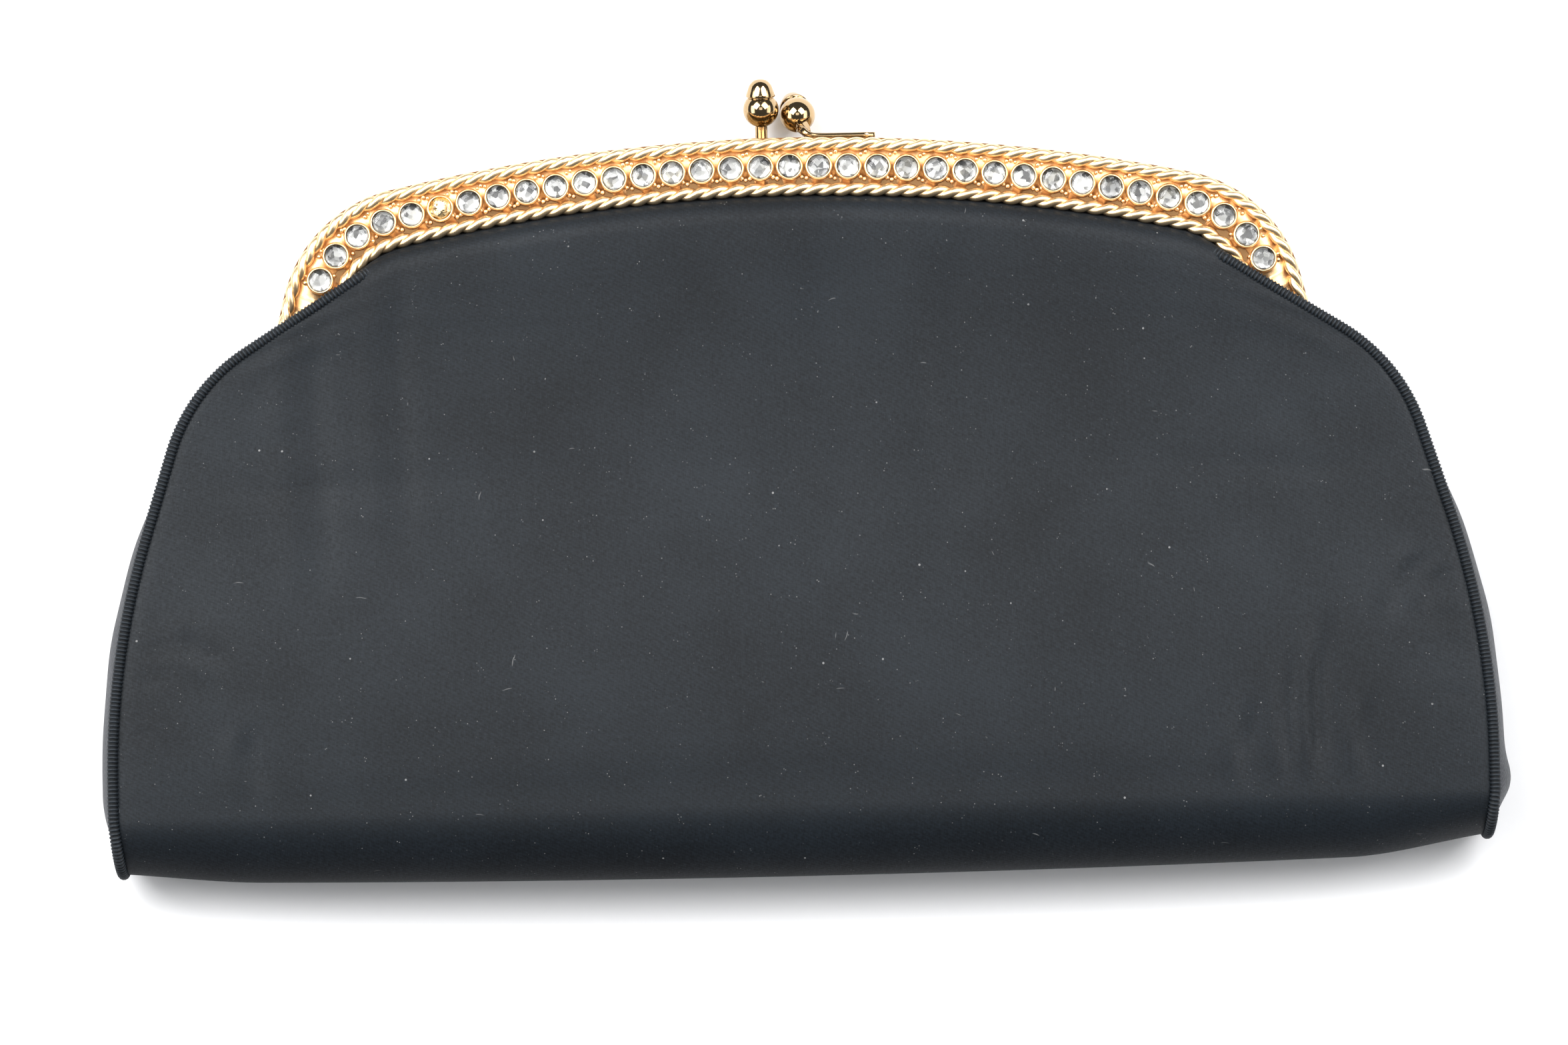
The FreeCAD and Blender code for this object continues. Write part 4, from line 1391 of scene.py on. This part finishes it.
class CLUTCH_OT_clasp(PieceOperator, bpy.types.Operator):
    """Makes the two clasp balls, the rear one's post and the front one's bent arm"""

    bl_idname = "clutch.clasp"
    bl_label = "Clasp"

    def execute(self, context):
        s, c = sizes(), colours()
        brass = finish("clasp brass", lambda n: brass_finish(n, c.clasp, (0.27, 0.18, 0.09), 0.07, 0.20))
        top = s.arch_height
        rear_centre, rear_way = self.ball_axis("rear_clasp_ball", (0.0, 5.0, 1.0), s)
        front_centre, front_way = self.ball_axis("front_clasp_ball", (-0.2, 0.6, -0.775), s)
        for name, node, centre, way in (
            ("clasp_ball_rear", "rear_clasp_ball", rear_centre, rear_way),
            ("clasp_ball_front", "front_clasp_ball", front_centre, front_way),
        ):
            tilt = Vector((0, 0, 1)).rotation_difference(Vector(way)).to_matrix()
            piece = add_mesh(name, *moved(self.finial(s), centre, tilt=tilt), brass)
            belongs(piece, BACK if node.startswith("rear") else FRONT, "clasp_brass", node)
        foot = rear_centre - np.array(rear_way) * ((rear_centre[1] - top + 0.6) / rear_way[1])
        post = np.linspace(foot, rear_centre - np.array(rear_way) * 2.0, 24)
        t = np.linspace(0, 1, 24)
        flare = 1.04 + 0.22 * (1 - smooth(t, 0.0, 0.22)) + 0.22 * smooth(t, 0.82, 1.0)
        piece = add_mesh("clasp_post", *tube_parts(post, flare, 28), brass)
        belongs(piece, BACK, "clasp_brass", "rear_clasp_post")
        piece = add_mesh("clasp_arm", *self.arm(s, front_centre, front_way), brass)
        belongs(piece, FRONT, "clasp_brass", "front_clasp_arm")
        return {"FINISHED"}

    @staticmethod
    def ball_axis(node, way, s):
        """The middle of a ball, from its box, and the unit direction of its cap."""
        low, high = (np.array(corner) / MM - [0, BOTTOM_Y, 0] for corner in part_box(node))
        way = np.array(way) / np.linalg.norm(way)
        centre = np.where(way < -0.3, high - s.ball_radius, low + s.ball_radius)
        centre[0] = (low[0] + high[0]) / 2
        return centre, way

    @staticmethod
    def finial(s):
        """A ball, a groove, and a domed cap with a small tip."""
        r, tip = s.ball_radius, s.tip_length
        arc = [(r * math.sin(a), -r * math.cos(a)) for a in np.radians(np.linspace(14, 132, 40))]
        ring = arc[-1][1]
        cap = [
            (2.13, ring + 0.10),
            (2.16, ring + 0.16),
            (2.44, ring + 0.20),
            (2.50, ring + 0.34),
            (2.42, ring + 0.70),
            (2.24, ring + 1.20),
            (2.05, ring + 1.75),
            (1.86, ring + 2.20),
            (1.52, tip - 0.58),
            (1.10, tip - 0.22),
            (0.55, tip - 0.04),
            (0.05, tip),
        ]
        return lathe_parts(arc + cap, 56)

    @staticmethod
    def arm(s, centre, way):
        """A flat strip along the frame's top edge, bent up and forward into the ball."""
        heel = centre - np.array(way) * 5.35
        foot_end = (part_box("front_clasp_arm")[1].x / MM) - 0.1
        y = s.arch_height + 0.2
        z = heel[2] + 0.1
        path = smoothed(
            [
                (foot_end, y, z),
                ((foot_end + heel[0]) / 2 + 1, y, z),
                (heel[0] + 2.6, y + 0.02, z),
                (heel[0] + 1.0, y + 0.22, z + 0.05),
                (heel[0] + 0.1, y + 0.75, z - 0.25),
                tuple(centre - np.array(way) * 4.0),
                tuple(centre - np.array(way) * 2.2),
            ],
            ARM_RINGS,
        )
        t = np.linspace(0, 1, ARM_RINGS)
        ways = unit(np.gradient(path, axis=0))
        wide_first = np.array([0.0, 0.0, 1.0])
        wide_last = unit(np.cross(ways[-1], [0.0, 1.0, 0.3]))
        if wide_last[2] < 0:
            wide_last = -wide_last
        share = smooth(t, 0.62, 0.92)[:, None]
        wide = wide_first * (1 - share) + wide_last * share
        wide = unit(wide - ways * np.sum(wide * ways, 1, keepdims=True))
        thin = np.cross(ways, wide)
        half_wide = 1.55 * (1 - smooth(t, 0.55, 0.85)) + 1.05 * smooth(t, 0.55, 0.85)
        half_wide = half_wide * (0.55 + 0.45 * smooth(t, 0.0, 0.05))
        half_thin = 0.52 + 0.36 * smooth(t, 0.5, 0.85)
        turns = full_circle(ARM_SIDES)
        cosine, sine = np.cos(turns), np.sin(turns)
        square_c = np.sign(cosine) * np.abs(cosine) ** 0.45
        square_s = np.sign(sine) * np.abs(sine) ** 0.45
        rings = (
            path[:, None]
            + wide[:, None] * (half_wide[:, None] * square_c)[..., None]
            + thin[:, None] * (half_thin[:, None] * square_s)[..., None]
        )
        return rings.reshape(-1, 3), capped_rings(ARM_RINGS, ARM_SIDES)


# Each softbox: its name, place and size in metres, and power in watts.
SOFTBOXES = (
    ("upper_left", (-0.54, 0.50, 0.95), (0.75, 0.65), 16.0),
    ("upper_right", (0.54, 0.50, 0.95), (0.75, 0.65), 13.0),
    ("overhead", (0.0, 0.15, 1.75), (0.6, 0.5), 1.8),
    ("left", (-0.95, 0.05, 0.70), (0.9, 0.5), 5.6),
    ("right", (0.95, 0.05, 0.70), (0.9, 0.5), 4.4),
)
TABLE_HALF_WIDTH = 1.6
TABLE_DROP = 0.0002
CAMERA_PLACE = (-0.0023, -0.0077, 1.327)
CAMERA_ROLL = -1.35


class CLUTCH_OT_stage(PieceOperator, bpy.types.Operator):
    """Makes the table, the lights and the camera"""

    bl_idname = "clutch.stage"
    bl_label = "Stage"

    def execute(self, context):
        scene = context.scene
        mesh = bpy.data.meshes.new("table_top")
        reach = TABLE_HALF_WIDTH
        corners = [(-reach, -reach, 0), (reach, -reach, 0), (reach, reach, 0), (-reach, reach, 0)]
        mesh.from_pydata(corners, [], [(0, 1, 2, 3)])
        mesh.materials.append(finish("table", table_finish))
        table = bpy.data.objects.new("table_top", mesh)
        scene.collection.objects.link(table)
        table.location.z = -TABLE_DROP
        world = bpy.data.worlds.new("room")
        world.use_nodes = True
        backdrop = world.node_tree.nodes["Background"]
        backdrop.inputs["Color"].default_value = (0.90, 0.95, 1.0, 1.0)
        backdrop.inputs["Strength"].default_value = 0.12
        scene.world = world
        scene.view_settings.view_transform = "Standard"
        for name, place, size, power in SOFTBOXES:
            self.softbox("softbox_" + name, place, size, power)
        camera = bpy.data.objects.new("camera", bpy.data.cameras.new("camera"))
        scene.collection.objects.link(camera)
        camera.data.lens = 180
        camera.data.sensor_width = 36
        camera.location = CAMERA_PLACE
        camera.rotation_euler = (0, 0, math.radians(CAMERA_ROLL))
        scene.camera = camera
        return {"FINISHED"}

    @staticmethod
    def softbox(name, place, size, power):
        light = bpy.data.lights.new(name, "AREA")
        light.shape = "RECTANGLE"
        light.size, light.size_y = size
        light.energy = power
        holder = bpy.data.objects.new(name, light)
        bpy.context.scene.collection.objects.link(holder)
        holder.location = place
        aim = Vector((0, 0, 0)) - Vector(place)
        holder.rotation_euler = aim.to_track_quat("-Z", "Y").to_euler()


class CLUTCH_PT_panel(bpy.types.Panel):
    """Lists the clutch's pieces in the sidebar"""

    bl_label = "Evening Clutch"
    bl_space_type = "VIEW_3D"
    bl_region_type = "UI"
    bl_category = "Clutch"

    def draw(self, context):
        for operator in PIECES:
            self.layout.operator(operator.bl_idname)


PIECES = (
    CLUTCH_OT_stage,
    CLUTCH_OT_cover,
    CLUTCH_OT_wadding,
    CLUTCH_OT_lining,
    CLUTCH_OT_gussets,
    CLUTCH_OT_piping,
    CLUTCH_OT_frame,
    CLUTCH_OT_ropes,
    CLUTCH_OT_settings,
    CLUTCH_OT_stones,
    CLUTCH_OT_clasp,
)
CLASSES = (ClutchSizes, ClutchColours, *PIECES, CLUTCH_PT_panel)


def register():
    for cls in CLASSES:
        bpy.utils.register_class(cls)
    bpy.types.Scene.clutch_sizes = PointerProperty(type=ClutchSizes)
    bpy.types.Scene.clutch_colours = PointerProperty(type=ClutchColours)


def unregister():
    del bpy.types.Scene.clutch_colours
    del bpy.types.Scene.clutch_sizes
    for cls in reversed(CLASSES):
        bpy.utils.unregister_class(cls)


def main():
    register()
    for operator in PIECES:
        group, name = operator.bl_idname.split(".")
        getattr(getattr(bpy.ops, group), name)()


if __name__ == "__main__":
    main()
